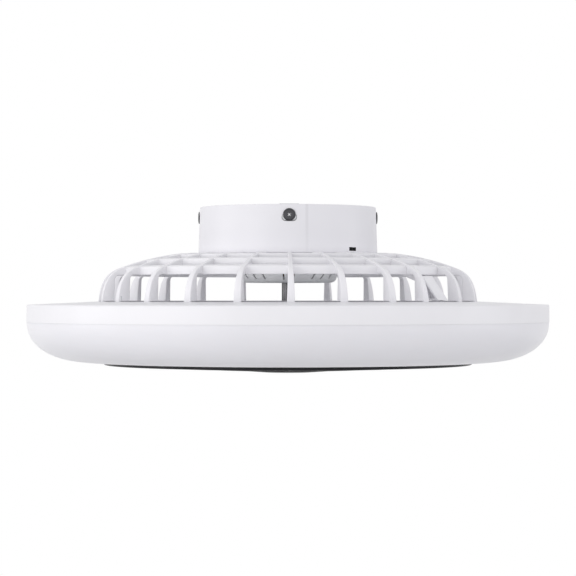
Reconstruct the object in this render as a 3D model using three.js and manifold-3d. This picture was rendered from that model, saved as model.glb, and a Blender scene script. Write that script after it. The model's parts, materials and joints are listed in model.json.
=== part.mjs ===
// Low caged ceiling fan with a ring light: a drum canopy, a domed cage of ribs, a motor that hangs
// in it, one fan wheel in the bore of the light ring, and a shallow guard under it.
// Millimetres, +Z up. The origin is the centre of the bracket's top face, which meets the ceiling.
// Azimuths are counted from the front, -Y, towards +X.
import * as THREE from 'three';
import { mergeVertices } from 'three/addons/utils/BufferGeometryUtils.js';
import Module from 'manifold-3d';

const wasm = await Module();
wasm.setup();

// Clearances
const fit_gap = 0.3; // between pieces that touch on the real product
const cut_overrun = 2; // how far a cut runs past the face that it opens
const merge_tolerance = 1e-4; // corners nearer than this are one

// Canopy
const canopy_rim_gap = 0.8; // rim to ceiling
const canopy_height = 44.3;
const canopy_top_radius = 84.6;
const canopy_bottom_radius = 86;
const canopy_wall = 2;
const canopy_floor = 1.4;
const canopy_edge = 1.2; // chamfer on the upper rim

// Canopy screws and the slots that the canopy hangs by
const screw_drop = 10.9; // ceiling to screw axis
const screw_head_radius = 5.9;
const screw_head_height = 2.2;
const screw_shank_radius = 2;
const screw_shank_length = 12;
const cross_length = 6;
const cross_width = 1.1;
const cross_depth = 1.2;
const slot_width = 15;
const slot_height = 8.6;

// Ceiling bracket
const bracket_sheet = 2;
const bracket_arm_width = 18;
const bracket_tab_length = 17;
const bracket_slot_length = 22;
const bracket_slot_width = 5;
const bracket_slot_radius = 48; // centre of each ceiling-screw slot

// Receiver behind the small window in the canopy
const window_azimuth = 43.7;
const window_width = 6.4;
const window_height = 3.2;
const window_sill = 1.6; // above the canopy's lower edge
const receiver_length = 9;
const receiver_recess = 0.5;
const receiver_lens_radius = 1.2;
const receiver_body_width = 11; // behind the canopy's wall
const receiver_body_height = 8;

// Cage
const rib_count = 24;
const rib_width = 6.8;
const rib_depth = 11.5; // at the foot
const rib_shoulder_depth = 10;
const rib_crown_depth = 8.2;
const rib_rise = 2.6; // top of the ribs above the crown plate
const rib_inner_gap = 0.7; // canopy to the inner end of each rib
const foot_radius = 182.4;
const crown_lap = 10; // crown beyond the canopy
const shoulder_drop = 14.3; // below the top of the ribs
const cage_drop = 46.3; // crown plate's top to the cage's foot
const plate_thickness = 3;
const plate_lip = 1; // crown plate beyond the ribs' highest points
const hoop_height = 1.7;
const hoop_lip = 1.1; // hoop beyond the feet of the ribs
const ring_heights = { low: 7.4, middle: 6.4, high: 4.2 };
const ring_depth = 5;
const ring_recess = 1.6; // top of each ring below the outer line of the ribs
const ring_bevel = 1.2; // inner lower edge above the outer one
const duct_rib_index = 3; // this rib makes way for the cable duct
const duct_rib_shift = 2.65; // degrees
// Where the shoulder and the rings lie, from the crown (0) out to the foot (1)
const shoulder_share = 0.723;
const ring_shares = { low: 0.734, middle: 0.502, high: 0.248 };
// The outer line of a rib: how far each control point lies between its two ends
const wall_shares = [[0.1, 0.68], [0.35, 0.88]];
const crown_shares = [0.453, 0.713];

// Light ring: housing, lamp board, diffuser
const light_radius = 250;
const band_height = 17.6;
const band_wall = 2;
const band_edge = 1.4;
const seat_gap = 0.5; // round the cage's hoop, which sits in a step
const seat_depth = 1.5;
const top_fall = 2.3; // crest to the band's upper edge
const top_wall = 2.6;
const bore_inset = 8.4; // inside the outer faces of the ribs' feet
const bore_wall = 2;
const ledge_width = 4;
const ledge_height = 2;
const ledge_rise = 7; // above the bottom of the light ring
const diffuser_depth = 37.6;
const diffuser_inset = 1.2; // inside the band's outer face
const diffuser_wall = 2;
const diffuser_tongue_height = 5.5;
// The diffuser's outer curve: how far each control point lies in and down
const bowl_shares = [[0.02, 0.53], [0.21, 1]];
// Across the light ring's channel, from the bore wall (0) to the band (1)
const diffuser_flat_share = 0.285;
const board_edge_shares = [0.208, 0.861];
const board_thickness = 1.4;
const lamp_count = 24;
const lamp_size = 5;
const lamp_height = 1;

// Cable duct and lamp cable
const duct_azimuth = 51.3;
const duct_width = 15.5;
const duct_wall = 1.2;
const duct_thickness = 5.4;
const duct_start = 8; // beyond the crown
const duct_knee = 5.6; // beyond the lowest ring, where the duct turns down
const duct_foot_inset = 0.8; // inside the outer faces of the ribs' feet
const duct_ring_gap = 1.1; // under the cage's rings
const cable_radius = 1.4;
const cable_hole_radius = 3; // through the canopy's floor and the crown plate
const cable_foot_hole_radius = 2.8; // through the cage's hoop
const cable_roof_hole_radius = 2; // through the light ring's roof
const cable_rise_inset = 12; // inside the canopy, where the cable rises into it
const cable_foot_gap = 0.6; // bore wall to cable
const cable_bend_radius = 6;
const cable_foot_bend_radius = 2.2;
const cable_steps = 46;
const connector_size = 9;
const connector_height = 4;

// Guard under the fan wheel
const guard_overlap = 2.6; // rim beyond the inner face of the bore wall
const guard_rim_height = 3.2;
const guard_rim_width = 8;
const guard_fall = 7.8; // rim to centre
const guard_bar_height = 2.4;
const guard_bar_width = 2.4;
const guard_spoke_rise = 2.9; // top of the spokes above the cone
const guard_spokes = 20;
const guard_hoop_shares = [0.753, 0.476]; // of the guard's radius
const guard_hub_radius = 30;
const guard_hub_thickness = 3;
const guard_hooks = 6;
const hook_width = 14;
const hook_thickness = 2.2;
const hook_reach = 3.4; // over the ledge
const guard_boss_radius = 9;
const guard_boss_edge = 1.3; // height of its rim, and its top over the screw
const guard_screw_radius = 2;
const guard_screw_length = 7;
const guard_screw_head_radius = 3.6;
const guard_screw_head_height = 1.5;
const guard_recess_gap = 1.4; // round the screw's head

// Motor
const bell_share = 0.5465; // of the canopy's radius at its lower edge
const bell_wall = 2.5;
const bell_corner = 3.2;
const lower_bell_height = 24.1; // under its flange's upper face
const upper_bell_height = 20.4;
const flange_width = 9;
const flange_thickness = 2.5;
const bell_seat = 1.6; // how far the plate and the canopy's floor reach under the bells' rims
const vent_width = 1.7;
const vent_height = 8;
const vent_azimuths = [5.9, 30.8, 44.1, 58.8]; // mirrored left and right, front and back
const vent_leans = [5, 29, 37, 47]; // degrees from upright, their lower ends towards the middle
const motor_screw_offset = 4; // outside the bells
const motor_screw_radius = 2;
const motor_screw_head_radius = 3.8;
const motor_screw_head_height = 2.4;
const lug_radius = 4.6;
const lug_height = 9;
const core_height = 22;
const core_rise = 5.2; // top of the core above the canopy's floor
const air_gap = 0.7;
const rotor_share = 0.51; // of the bells' radius
const winding_inner_gap = 4; // outside the rotor
const winding_outer_gap = 3.5; // inside the bells' walls
const winding_height = 6.4;
const bearing_radius = 14;
const bearing_height = 8;
const bearing_boss_wall = 2.4;
const shaft_radius = 6;
const shaft_relief = 1.2; // shaft end to the upper bell

// Fan wheel
const wheel_drop = 5; // light ring's seat to the top of the hub
const hub_radius = 31;
const hub_height = 34;
const hub_wall = 2.4;
const hub_sleeve_radius = 11;
const wheel_gap = 11; // blade tips to the light ring's bore, which leaves room for the guard's hooks
const blade_count = 5;
const blade_thickness = 2.4;
const blade_root_angle = 31; // degrees from level
const blade_tip_angle = 17;
const blade_root_sweep = 48; // degrees of the circle that the blade covers
const blade_tip_sweep = 40;
const blade_lead = 14; // degrees that the tip runs ahead of the root
const blade_embed = 1; // blade root into the hub's wall
const blade_steps_out = 5;
const blade_steps_along = 4;
const pin_radius = 1.6;
const pin_length = 20;
const nut_radius = 13;
const nut_height = 11;
const nut_bore_depth = 8;

// Electrics in the canopy
const case_length = 58;
const case_height = 19;
const case_wall = 1.6;
const case_gap = 6; // motor to case
const case_canopy_gap = 3; // the case's corners to the canopy
const lid_thickness = 1.8;
const circuit_thickness = 1.4;
const circuit_rise = 4;
const component_height = 6;
const terminal_length = 30;
const terminal_width = 14;
const terminal_height = 13;
const terminal_gap = 10; // motor to terminal block
const terminal_ways = 3;

// Screws that hold the light ring to the cage
const ring_screw_count = 6;
const ring_screw_radius = 1.7;
const ring_screw_head_radius = 3;
const ring_screw_head_height = 1.8;
const ring_screw_length = 9;

// Facets
const wide_facets = 48;
const motor_facets = 24;
const small_facets = 16;
const screw_facets = 10;
const hole_facets = 8;
const bowl_outer_steps = 6;
const bowl_inner_steps = 4;
const full_turn = 2 * Math.PI;

// Heights, from the ceiling down
const canopy_top_z = -canopy_rim_gap;
const canopy_bottom_z = canopy_top_z - canopy_height;
const canopy_floor_z = canopy_bottom_z + canopy_floor;
const plate_top_z = canopy_bottom_z - fit_gap;
const plate_bottom_z = plate_top_z - plate_thickness;
const rib_top_z = plate_top_z + rib_rise;
const cage_foot_z = plate_top_z - cage_drop;
const hoop_top_z = cage_foot_z + hoop_height;
const seat_z = cage_foot_z - fit_gap;
const crest_z = seat_z + seat_depth;
const band_top_z = crest_z - top_fall;
const band_bottom_z = band_top_z - band_height;
const lamp_ceiling_z = seat_z - top_wall;
const light_bottom_z = band_bottom_z - diffuser_depth;
const ledge_bottom_z = light_bottom_z + ledge_rise;
const ledge_top_z = ledge_bottom_z + ledge_height;
const guard_top_z = light_bottom_z - fit_gap;
const flange_top_z = plate_bottom_z - fit_gap;
const upper_bell_foot_z = canopy_floor_z + fit_gap;
const core_top_z = canopy_floor_z + core_rise;
const core_bottom_z = core_top_z - core_height;
const hub_top_z = seat_z - wheel_drop;
const hub_bottom_z = hub_top_z - hub_height;

// Radii that follow from others
const between = (from, to, share) => from + (to - from) * share;
const bell_radius = canopy_bottom_radius * bell_share;
const rotor_radius = bell_radius * rotor_share;
const crown_radius = canopy_bottom_radius + crown_lap;
const shoulder_radius = between(crown_radius, foot_radius, shoulder_share);
const plate_radius = crown_radius + plate_lip;
const hoop_radius = foot_radius + hoop_lip;
const crest_radius = hoop_radius + seat_gap;
const bore_radius = foot_radius - bore_inset;
const channel_inner_radius = bore_radius + bore_wall;
const channel_outer_radius = light_radius - band_wall;
const [board_inner_radius, board_outer_radius] = board_edge_shares.map((share) => (
  between(channel_inner_radius, channel_outer_radius, share)
));
const lamp_row_radius = (board_inner_radius + board_outer_radius) / 2;
const diffuser_flat_radius = between(
  channel_inner_radius, channel_outer_radius, diffuser_flat_share,
);
const duct_top_radius = crown_radius + duct_start;
const duct_foot_radius = foot_radius - duct_foot_inset;
const cable_rise_radius = canopy_bottom_radius - cable_rise_inset;
const cable_foot_radius = channel_inner_radius + cable_foot_gap + cable_radius;
const guard_radius = bore_radius + guard_overlap;
const wheel_radius = bore_radius - wheel_gap;
const motor_hole_radius = bell_radius - bell_seat;
const motor_screw_ring = bell_radius + motor_screw_offset;
const flange_radius = bell_radius + flange_width;
const winding_inner_radius = rotor_radius + winding_inner_gap;
const winding_outer_radius = bell_radius - bell_wall - winding_outer_gap;

const radians = (degrees) => THREE.MathUtils.degToRad(degrees);

// A closed mesh with merged corners becomes a solid that can be cut and joined.
function solidOf(geometry) {
  const plain = geometry.clone();
  plain.deleteAttribute('normal');
  plain.deleteAttribute('uv');
  const merged = mergeVertices(plain, merge_tolerance);
  const positions = merged.attributes.position.array;
  const index = merged.index.array;
  const kept = [];
  let volume = 0;
  const [a, b, c] = [new THREE.Vector3(), new THREE.Vector3(), new THREE.Vector3()];
  for (let i = 0; i < index.length; i += 3) {
    const [ia, ib, ic] = [index[i], index[i + 1], index[i + 2]];
    if (ia === ib || ib === ic || ic === ia) continue;
    kept.push(ia, ib, ic);
    a.fromArray(positions, 3 * ia);
    b.fromArray(positions, 3 * ib);
    c.fromArray(positions, 3 * ic);
    volume += a.dot(b.cross(c));
  }
  if (volume < 0) kept.reverse();
  const mesh = new wasm.Mesh({
    numProp: 3,
    vertProperties: new Float32Array(positions),
    triVerts: new Uint32Array(kept),
  });
  return new wasm.Manifold(mesh);
}

function geometryOf(solid) {
  const mesh = solid.getMesh();
  const geometry = new THREE.BufferGeometry();
  geometry.setAttribute('position', new THREE.BufferAttribute(mesh.vertProperties, 3));
  geometry.setIndex(new THREE.BufferAttribute(mesh.triVerts, 1));
  geometry.computeVertexNormals();
  return geometry;
}

const joined = (solids) => solids.reduce((whole, solid) => whole.add(solid));
const cutFrom = (solid, cutters) => cutters.reduce((rest, cutter) => rest.subtract(cutter), solid);

// A closed outline of [radius, height] points, turned about the fan's axis.
function revolved(outline, facets) {
  const points = outline.map(([radius, height]) => new THREE.Vector2(radius, height));
  points.push(points[0].clone());
  return solidOf(new THREE.LatheGeometry(points, facets).rotateX(Math.PI / 2));
}

// An upright cylinder between two heights, its axis at x, y.
function upright(radius, low, high, facets, x = 0, y = 0) {
  const geometry = new THREE.CylinderGeometry(radius, radius, high - low, facets);
  geometry.rotateX(Math.PI / 2).translate(x, y, (low + high) / 2);
  return solidOf(geometry);
}

function box(x0, x1, y0, y1, z0, z1) {
  const geometry = new THREE.BoxGeometry(x1 - x0, y1 - y0, z1 - z0);
  geometry.translate((x0 + x1) / 2, (y0 + y1) / 2, (z0 + z1) / 2);
  return solidOf(geometry);
}

// A rectangle with round ends, long way along x, centred at the origin.
function obround(length, width, depth) {
  const half = (length - width) / 2;
  const shape = new THREE.Shape();
  shape.absarc(half, 0, width / 2, -Math.PI / 2, Math.PI / 2);
  shape.absarc(-half, 0, width / 2, Math.PI / 2, 1.5 * Math.PI);
  const settings = { depth, bevelEnabled: false, curveSegments: hole_facets / 2 };
  return new THREE.ExtrudeGeometry(shape, settings).translate(0, 0, -depth / 2);
}

// Turns what was drawn at the front, -Y, to an azimuth.
const turned = (solid, azimuth) => solid.rotate([0, 0, azimuth]);
const around = (count, make) => Array.from({ length: count }, (_, i) => make(i, (360 * i) / count));

// A [radius, height] outline in the plane of an azimuth, as thick as width across it.
function fin(outline, width, azimuth) {
  const shape = new THREE.Shape(outline.map(([radius, height]) => new THREE.Vector2(radius, height)));
  const geometry = new THREE.ExtrudeGeometry(shape, { depth: width, bevelEnabled: false });
  geometry.translate(0, 0, -width / 2).rotateX(Math.PI / 2).rotateZ(radians(azimuth - 90));
  return solidOf(geometry);
}

// A place on the level circle of a radius, at an azimuth.
function onCircle(radius, azimuth) {
  return [radius * Math.sin(radians(azimuth)), -radius * Math.cos(radians(azimuth))];
}

const finish = (color, roughness, metalness = 0) => (
  new THREE.MeshStandardMaterial({ color, roughness, metalness })
);
const white_plastic = finish(0xf4f4f7, 0.42);
const frosted_plastic = finish(0xeeeef4, 0.55);
const dark_plastic = finish(0x38383c, 0.5);
const black_plastic = finish(0x0c0c0e, 0.35);
const pale_plastic = finish(0xd9dade, 0.6);
const cast_alloy = finish(0xa4a6aa, 0.5, 0.7);
const bright_steel = finish(0xb9bbbf, 0.35, 0.9);
const dark_steel = finish(0x45464a, 0.35, 0.85);
const core_steel = finish(0x77797d, 0.5, 0.8);
const copper = finish(0xb8693a, 0.4, 0.9);
const circuit_green = finish(0x1f5a3c, 0.5);
const board_white = finish(0xf2f1ea, 0.4);
const cable_grey = finish(0xc9cacd, 0.55);

const fan = new THREE.Group();

function addPiece(name, solid, material) {
  const mesh = new THREE.Mesh(geometryOf(solid), material);
  mesh.name = name;
  fan.add(mesh);
}

// How far the middle of a facet lies inside the circle of its corners
const facet_shrink = Math.cos(Math.PI / wide_facets);

// Canopy: an open drum whose floor is clamped under the motor's upper bell.
const canopyRadiusAt = (z) => THREE.MathUtils.mapLinear(
  z, canopy_top_z, canopy_bottom_z, canopy_top_radius, canopy_bottom_radius,
);
// Room inside the canopy's wall between two heights, measured to the middle of a facet
const canopyRoom = (low, high) => facet_shrink * (
  Math.min(canopyRadiusAt(low), canopyRadiusAt(high)) - canopy_wall
);
const slot_z = -screw_drop + screw_shank_radius + fit_gap - slot_height / 2;
const window_z = canopy_bottom_z + window_sill + window_height / 2;

function motorScrewPlaces() {
  return around(4, (i, azimuth) => onCircle(motor_screw_ring, azimuth + 45));
}

function motorScrewHoles(low, high) {
  const radius = motor_screw_radius + fit_gap;
  return motorScrewPlaces().map(([x, y]) => upright(radius, low, high, hole_facets, x, y));
}

function cableRiser(low, high) {
  const [x, y] = onCircle(cable_rise_radius, duct_azimuth);
  return upright(cable_hole_radius, low, high, hole_facets, x, y);
}

function makeCanopy() {
  const shell = revolved([
    [motor_hole_radius, canopy_bottom_z],
    [canopy_bottom_radius, canopy_bottom_z],
    [canopyRadiusAt(canopy_top_z - canopy_edge), canopy_top_z - canopy_edge],
    [canopy_top_radius - canopy_edge, canopy_top_z],
    [canopy_top_radius - canopy_wall, canopy_top_z],
    [canopyRadiusAt(canopy_floor_z) - canopy_wall, canopy_floor_z],
    [motor_hole_radius, canopy_floor_z],
  ], wide_facets);
  const slot_depth = 2 * (canopy_wall + cut_overrun);
  const slots = around(4, (i, azimuth) => {
    const cutter = obround(slot_width, slot_height, slot_depth).rotateX(Math.PI / 2);
    return turned(solidOf(cutter.translate(0, -canopyRadiusAt(slot_z), slot_z)), azimuth);
  });
  const window_half = window_height / 2;
  const window = turned(box(
    -window_width / 2, window_width / 2,
    -canopy_bottom_radius - cut_overrun, -canopy_top_radius + canopy_wall + cut_overrun,
    window_z - window_half, window_z + window_half,
  ), window_azimuth);
  const floor_low = canopy_bottom_z - cut_overrun;
  const floor_high = canopy_floor_z + cut_overrun;
  return cutFrom(shell, [
    ...slots, window, cableRiser(floor_low, floor_high), ...motorScrewHoles(floor_low, floor_high),
  ]);
}
addPiece('canopy', makeCanopy(), white_plastic);

// Receiver: a black block with a small lens, in the canopy's window.
function makeReceiver() {
  const face = canopyRadiusAt(window_z) - receiver_recess;
  const half_width = window_width / 2 - fit_gap;
  const half_height = window_height / 2 - fit_gap;
  const nose = box(
    -half_width, half_width, -face, receiver_length - face, window_z - half_height,
    window_z + half_height,
  );
  const body_half = receiver_body_width / 2;
  const body_low = canopy_floor_z + fit_gap;
  const body_high = body_low + receiver_body_height;
  const body_reach = canopyRoom(body_low, body_high) - fit_gap;
  const body_face = Math.sqrt(body_reach ** 2 - body_half ** 2);
  const body = box(
    -body_half, body_half, -body_face, receiver_length - face, body_low, body_high,
  );
  const lens = new THREE.SphereGeometry(receiver_lens_radius, small_facets, small_facets / 2);
  lens.translate(0, receiver_lens_radius / 2 - face, window_z);
  return turned(joined([nose, body, solidOf(lens)]), window_azimuth);
}
addPiece('ir_receiver', makeReceiver(), black_plastic);

// Ceiling bracket: a cross of sheet steel whose four ends turn down behind the canopy's slots.
const tab_reach = canopyRoom(-bracket_tab_length, canopy_top_z) - fit_gap;
const tab_distance = Math.sqrt(tab_reach ** 2 - (bracket_arm_width / 2) ** 2);

function makeBracket() {
  const half = bracket_arm_width / 2;
  const arms = [
    box(-tab_distance, tab_distance, -half, half, -bracket_sheet, 0),
    box(-half, half, -tab_distance, tab_distance, -bracket_sheet, 0),
  ];
  const tabs = around(4, (i, azimuth) => turned(box(
    -half, half, -tab_distance, bracket_sheet - tab_distance, -bracket_tab_length, 0,
  ), azimuth));
  const tap_radius = screw_shank_radius + fit_gap;
  const taps = around(4, (i, azimuth) => {
    const tap = new THREE.CylinderGeometry(tap_radius, tap_radius, 4 * bracket_sheet, hole_facets);
    return turned(solidOf(tap.translate(0, -tab_distance, -screw_drop)), azimuth);
  });
  const slots = around(4, (i, azimuth) => {
    const cutter = obround(bracket_slot_length, bracket_slot_width, 4 * bracket_sheet);
    cutter.rotateZ(Math.PI / 2).translate(0, -bracket_slot_radius, 0);
    return turned(solidOf(cutter), azimuth);
  });
  return cutFrom(joined([...arms, ...tabs]), [...taps, ...slots]);
}
addPiece('ceiling_bracket', makeBracket(), bright_steel);

// A pan-head screw with a cross recess, its shank along +Y, the head's underside at y = 0.
function panScrew(head_radius, head_height, shank_radius, shank_length) {
  const outline = [
    [0, 0], [shank_radius, 0], [shank_radius, shank_length], [head_radius, shank_length],
    [head_radius, shank_length + head_height / 2],
    [head_radius / 2, shank_length + head_height], [0, shank_length + head_height],
  ].map(([radius, along]) => new THREE.Vector2(radius, along));
  const turned_body = new THREE.LatheGeometry(outline, screw_facets);
  return solidOf(turned_body.rotateX(Math.PI).translate(0, shank_length, 0));
}

function makeCanopyScrew(azimuth) {
  const screw = panScrew(
    screw_head_radius, screw_head_height, screw_shank_radius, screw_shank_length,
  );
  const half_long = cross_length / 2;
  const half_wide = cross_width / 2;
  const face = -screw_head_height - cut_overrun;
  const depth = cross_depth - screw_head_height;
  const cross = [
    box(-half_long, half_long, face, depth, -half_wide, half_wide),
    box(-half_wide, half_wide, face, depth, -half_long, half_long),
  ];
  const underside = fit_gap + Math.max(
    canopyRadiusAt(-screw_drop - screw_head_radius), canopyRadiusAt(-screw_drop + screw_head_radius),
  );
  return turned(cutFrom(screw, cross).translate([0, -underside, -screw_drop]), azimuth);
}
['front', 'right', 'back', 'left'].forEach((side, i) => {
  addPiece(`canopy_screw_${side}`, makeCanopyScrew(90 * i), dark_steel);
});

// Cage: the outer and inner lines of a rib, from the foot over the shoulder to the crown plate.
function ribLine(foot, shoulder, crown, wall_steps, roof_steps) {
  const corner = (start, end, shares) => (
    new THREE.Vector2(between(start.x, end.x, shares[0]), between(start.y, end.y, shares[1]))
  );
  const wall = new THREE.CubicBezierCurve(
    foot, corner(foot, shoulder, wall_shares[0]), corner(foot, shoulder, wall_shares[1]), shoulder,
  );
  const roof = new THREE.QuadraticBezierCurve(shoulder, corner(shoulder, crown, crown_shares), crown);
  const points = [...wall.getPoints(wall_steps), ...roof.getPoints(roof_steps).slice(1)];
  return points.map(({ x, y }) => [x, y]);
}

const shoulder_z = rib_top_z - shoulder_drop;
const outer_line = ribLine(
  new THREE.Vector2(foot_radius, cage_foot_z),
  new THREE.Vector2(shoulder_radius, shoulder_z),
  new THREE.Vector2(crown_radius, rib_top_z),
  5, 3,
);
const inner_line = ribLine(
  new THREE.Vector2(foot_radius - rib_depth, cage_foot_z),
  new THREE.Vector2(shoulder_radius, shoulder_z - rib_shoulder_depth),
  new THREE.Vector2(crown_radius, rib_top_z - rib_crown_depth),
  3, 2,
);

// Height of the ribs' outer line at a radius.
function crownHeight(radius) {
  for (let i = 1; i < outer_line.length; i += 1) {
    const [r0, z0] = outer_line[i - 1];
    const [r1, z1] = outer_line[i];
    if (radius <= r0 && radius >= r1) return THREE.MathUtils.mapLinear(radius, r0, r1, z0, z1);
  }
  return rib_top_z;
}

const ringRadius = (key) => between(crown_radius, foot_radius, ring_shares[key]);

function ringOutline(key) {
  const radius = ringRadius(key);
  const top = crownHeight(radius) - ring_recess;
  const inner = radius - ring_depth;
  const bottom = top - ring_heights[key];
  return [
    [radius, bottom], [radius, top], [inner, crownHeight(inner) - ring_recess],
    [inner, bottom + ring_bevel],
  ];
}

const ribAzimuth = (i) => (360 * i) / rib_count - (i === duct_rib_index ? duct_rib_shift : 0);
const ring_screw_circle = (foot_radius + channel_inner_radius) / 2;
const ring_screw_step = rib_count / ring_screw_count;

function ringScrewPlaces() {
  return around(ring_screw_count, (i) => (
    onCircle(ring_screw_circle, ribAzimuth(i * ring_screw_step))
  ));
}

function makeCage() {
  const inner_end = canopy_bottom_radius + rib_inner_gap;
  const rib = [
    ...outer_line, [inner_end, rib_top_z], [inner_end, plate_bottom_z],
    ...inner_line.slice().reverse(),
  ];
  const ribs = around(rib_count, (i) => fin(rib, rib_width, ribAzimuth(i)));
  const rings = Object.keys(ring_shares).map((key) => revolved(ringOutline(key), rib_count));
  const plate = revolved([
    [motor_hole_radius, plate_bottom_z], [plate_radius, plate_bottom_z],
    [plate_radius, plate_top_z], [motor_hole_radius, plate_top_z],
  ], wide_facets);
  const hoop = revolved([
    [foot_radius - rib_depth - fit_gap, cage_foot_z], [hoop_radius, cage_foot_z],
    [hoop_radius, hoop_top_z], [foot_radius - rib_depth - fit_gap, hoop_top_z],
  ], wide_facets);
  const screw_radius = ring_screw_radius + fit_gap;
  const screw_top = lamp_ceiling_z - fit_gap + ring_screw_length + fit_gap;
  const screw_holes = ringScrewPlaces().map(([x, y]) => (
    upright(screw_radius, cage_foot_z - cut_overrun, screw_top, hole_facets, x, y)
  ));
  const [foot_x, foot_y] = onCircle(cable_foot_radius, duct_azimuth);
  const foot_hole = upright(
    cable_foot_hole_radius, cage_foot_z - cut_overrun, hoop_top_z + cut_overrun, hole_facets,
    foot_x, foot_y,
  );
  const plate_low = plate_bottom_z - cut_overrun;
  const plate_high = plate_top_z + cut_overrun;
  return cutFrom(joined([...ribs, ...rings, plate, hoop]), [
    ...screw_holes, foot_hole, cableRiser(plate_low, plate_high),
    ...motorScrewHoles(plate_low, plate_high),
  ]);
}
addPiece('cage', makeCage(), white_plastic);

// Light ring housing: an upturned channel with a tall bore wall and a ledge for the guard's hooks.
const hook_pitch = 360 / guard_hooks;

function makeHousing() {
  const shell = revolved([
    [bore_radius, seat_z],
    [crest_radius, seat_z],
    [crest_radius, crest_z],
    [light_radius - band_edge, band_top_z],
    [light_radius, band_top_z - band_edge],
    [light_radius, band_bottom_z],
    [channel_outer_radius, band_bottom_z],
    [channel_outer_radius, lamp_ceiling_z],
    [channel_inner_radius, lamp_ceiling_z],
    [channel_inner_radius, light_bottom_z],
    [bore_radius, light_bottom_z],
    [bore_radius, ledge_bottom_z],
    [bore_radius - ledge_width, ledge_bottom_z],
    [bore_radius - ledge_width, ledge_top_z],
    [bore_radius, ledge_top_z],
  ], wide_facets);
  const notch_half = hook_width / 2 + cut_overrun;
  const notches = around(guard_hooks, (i, azimuth) => turned(box(
    -notch_half, notch_half,
    -bore_radius * facet_shrink + fit_gap, -bore_radius + ledge_width + cut_overrun,
    ledge_bottom_z - cut_overrun, ledge_top_z + cut_overrun,
  ), azimuth + hook_pitch / 2));
  const low = lamp_ceiling_z - cut_overrun;
  const high = seat_z + cut_overrun;
  const screw_radius = ring_screw_radius + fit_gap;
  const screw_holes = ringScrewPlaces().map(([x, y]) => (
    upright(screw_radius, low, high, hole_facets, x, y)
  ));
  const [foot_x, foot_y] = onCircle(cable_foot_radius, duct_azimuth);
  const cable_hole = upright(cable_roof_hole_radius, low, high, hole_facets, foot_x, foot_y);
  return cutFrom(shell, [...notches, ...screw_holes, cable_hole]);
}
addPiece('light_housing', makeHousing(), white_plastic);

// Screws that hold the housing up against the feet of the cage.
ringScrewPlaces().forEach(([x, y], i) => {
  const screw = panScrew(
    ring_screw_head_radius, ring_screw_head_height, ring_screw_radius, ring_screw_length,
  );
  const upright_screw = screw.rotate([90, 0, 0]).translate([x, y, lamp_ceiling_z - fit_gap]);
  addPiece(`ring_screw_${i + 1}`, upright_screw, bright_steel);
});

// Lamp board: a white ring of circuit board with its lamps, flat under the housing's roof.
function makeLampBoard() {
  const board_top = lamp_ceiling_z - fit_gap;
  const board_bottom = board_top - board_thickness;
  const board = revolved([
    [board_inner_radius, board_bottom], [board_outer_radius, board_bottom],
    [board_outer_radius, board_top], [board_inner_radius, board_top],
  ], lamp_count);
  const half = lamp_size / 2;
  const lamps = around(lamp_count, (i, azimuth) => turned(box(
    -half, half, -lamp_row_radius - half, half - lamp_row_radius,
    board_bottom - lamp_height, board_bottom + board_thickness / 2,
  ), azimuth));
  return joined([board, ...lamps]);
}
addPiece('lamp_board', makeLampBoard(), board_white);

// Diffuser: a frosted bowl ring that closes the housing from below.
const diffuser_radius = light_radius - diffuser_inset;

function bowlLine(radius, top_z, bottom_z, flat_radius, steps) {
  const controls = bowl_shares.map(([inward, down]) => (
    new THREE.Vector2(between(radius, flat_radius, inward), between(top_z, bottom_z, down))
  ));
  const curve = new THREE.CubicBezierCurve(
    new THREE.Vector2(radius, top_z), ...controls, new THREE.Vector2(flat_radius, bottom_z),
  );
  return curve.getPoints(steps).map(({ x, y }) => [x, y]);
}

function makeDiffuser() {
  const lip_z = band_bottom_z - fit_gap;
  const tongue_outer = channel_outer_radius - fit_gap;
  const tongue_inner = tongue_outer - diffuser_wall;
  const inner_edge = channel_inner_radius + fit_gap;
  const outer = bowlLine(
    diffuser_radius, lip_z, light_bottom_z, diffuser_flat_radius, bowl_outer_steps,
  );
  const inner = bowlLine(
    tongue_inner, lip_z, light_bottom_z + diffuser_wall, diffuser_flat_radius, bowl_inner_steps,
  );
  return revolved([
    [tongue_outer, lip_z + diffuser_tongue_height], [tongue_outer, lip_z],
    ...outer,
    [inner_edge, light_bottom_z], [inner_edge, light_bottom_z + diffuser_wall],
    ...inner.reverse(),
    [tongue_inner, lip_z + diffuser_tongue_height],
  ], wide_facets);
}
addPiece('diffuser', makeDiffuser(), frosted_plastic);

// Cable duct: a flat channel that slants from under the rings to the top of the light ring.
function ductLine() {
  const under = (key, beyond = 0) => {
    const radius = ringRadius(key);
    const bottom = crownHeight(radius) - ring_recess - ring_heights[key];
    return [radius * Math.cos(Math.PI / rib_count) + beyond, bottom - duct_ring_gap];
  };
  return [
    [duct_top_radius, plate_bottom_z - duct_ring_gap - rib_rise], under('middle'), under('low'),
    under('low', duct_knee), [duct_foot_radius, hoop_top_z + fit_gap],
  ];
}

// Moves a line of points square to itself, to its inner side.
function inset(line, distance) {
  return line.map(([r, z], i) => {
    const [r0, z0] = line[Math.max(i - 1, 0)];
    const [r1, z1] = line[Math.min(i + 1, line.length - 1)];
    const length = Math.hypot(r1 - r0, z1 - z0);
    return [r + (distance * (z1 - z0)) / length, z - (distance * (r1 - r0)) / length];
  });
}

// The last point of an inset line, brought back to the level that the duct stands on.
function withFoot(line) {
  const [r, z] = line[line.length - 2];
  const [r1, z1] = line[line.length - 1];
  const foot_z = hoop_top_z + fit_gap;
  const foot_r = THREE.MathUtils.mapLinear(foot_z, z, z1, r, r1);
  return [...line.slice(0, -1), [foot_r, foot_z]];
}

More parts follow.
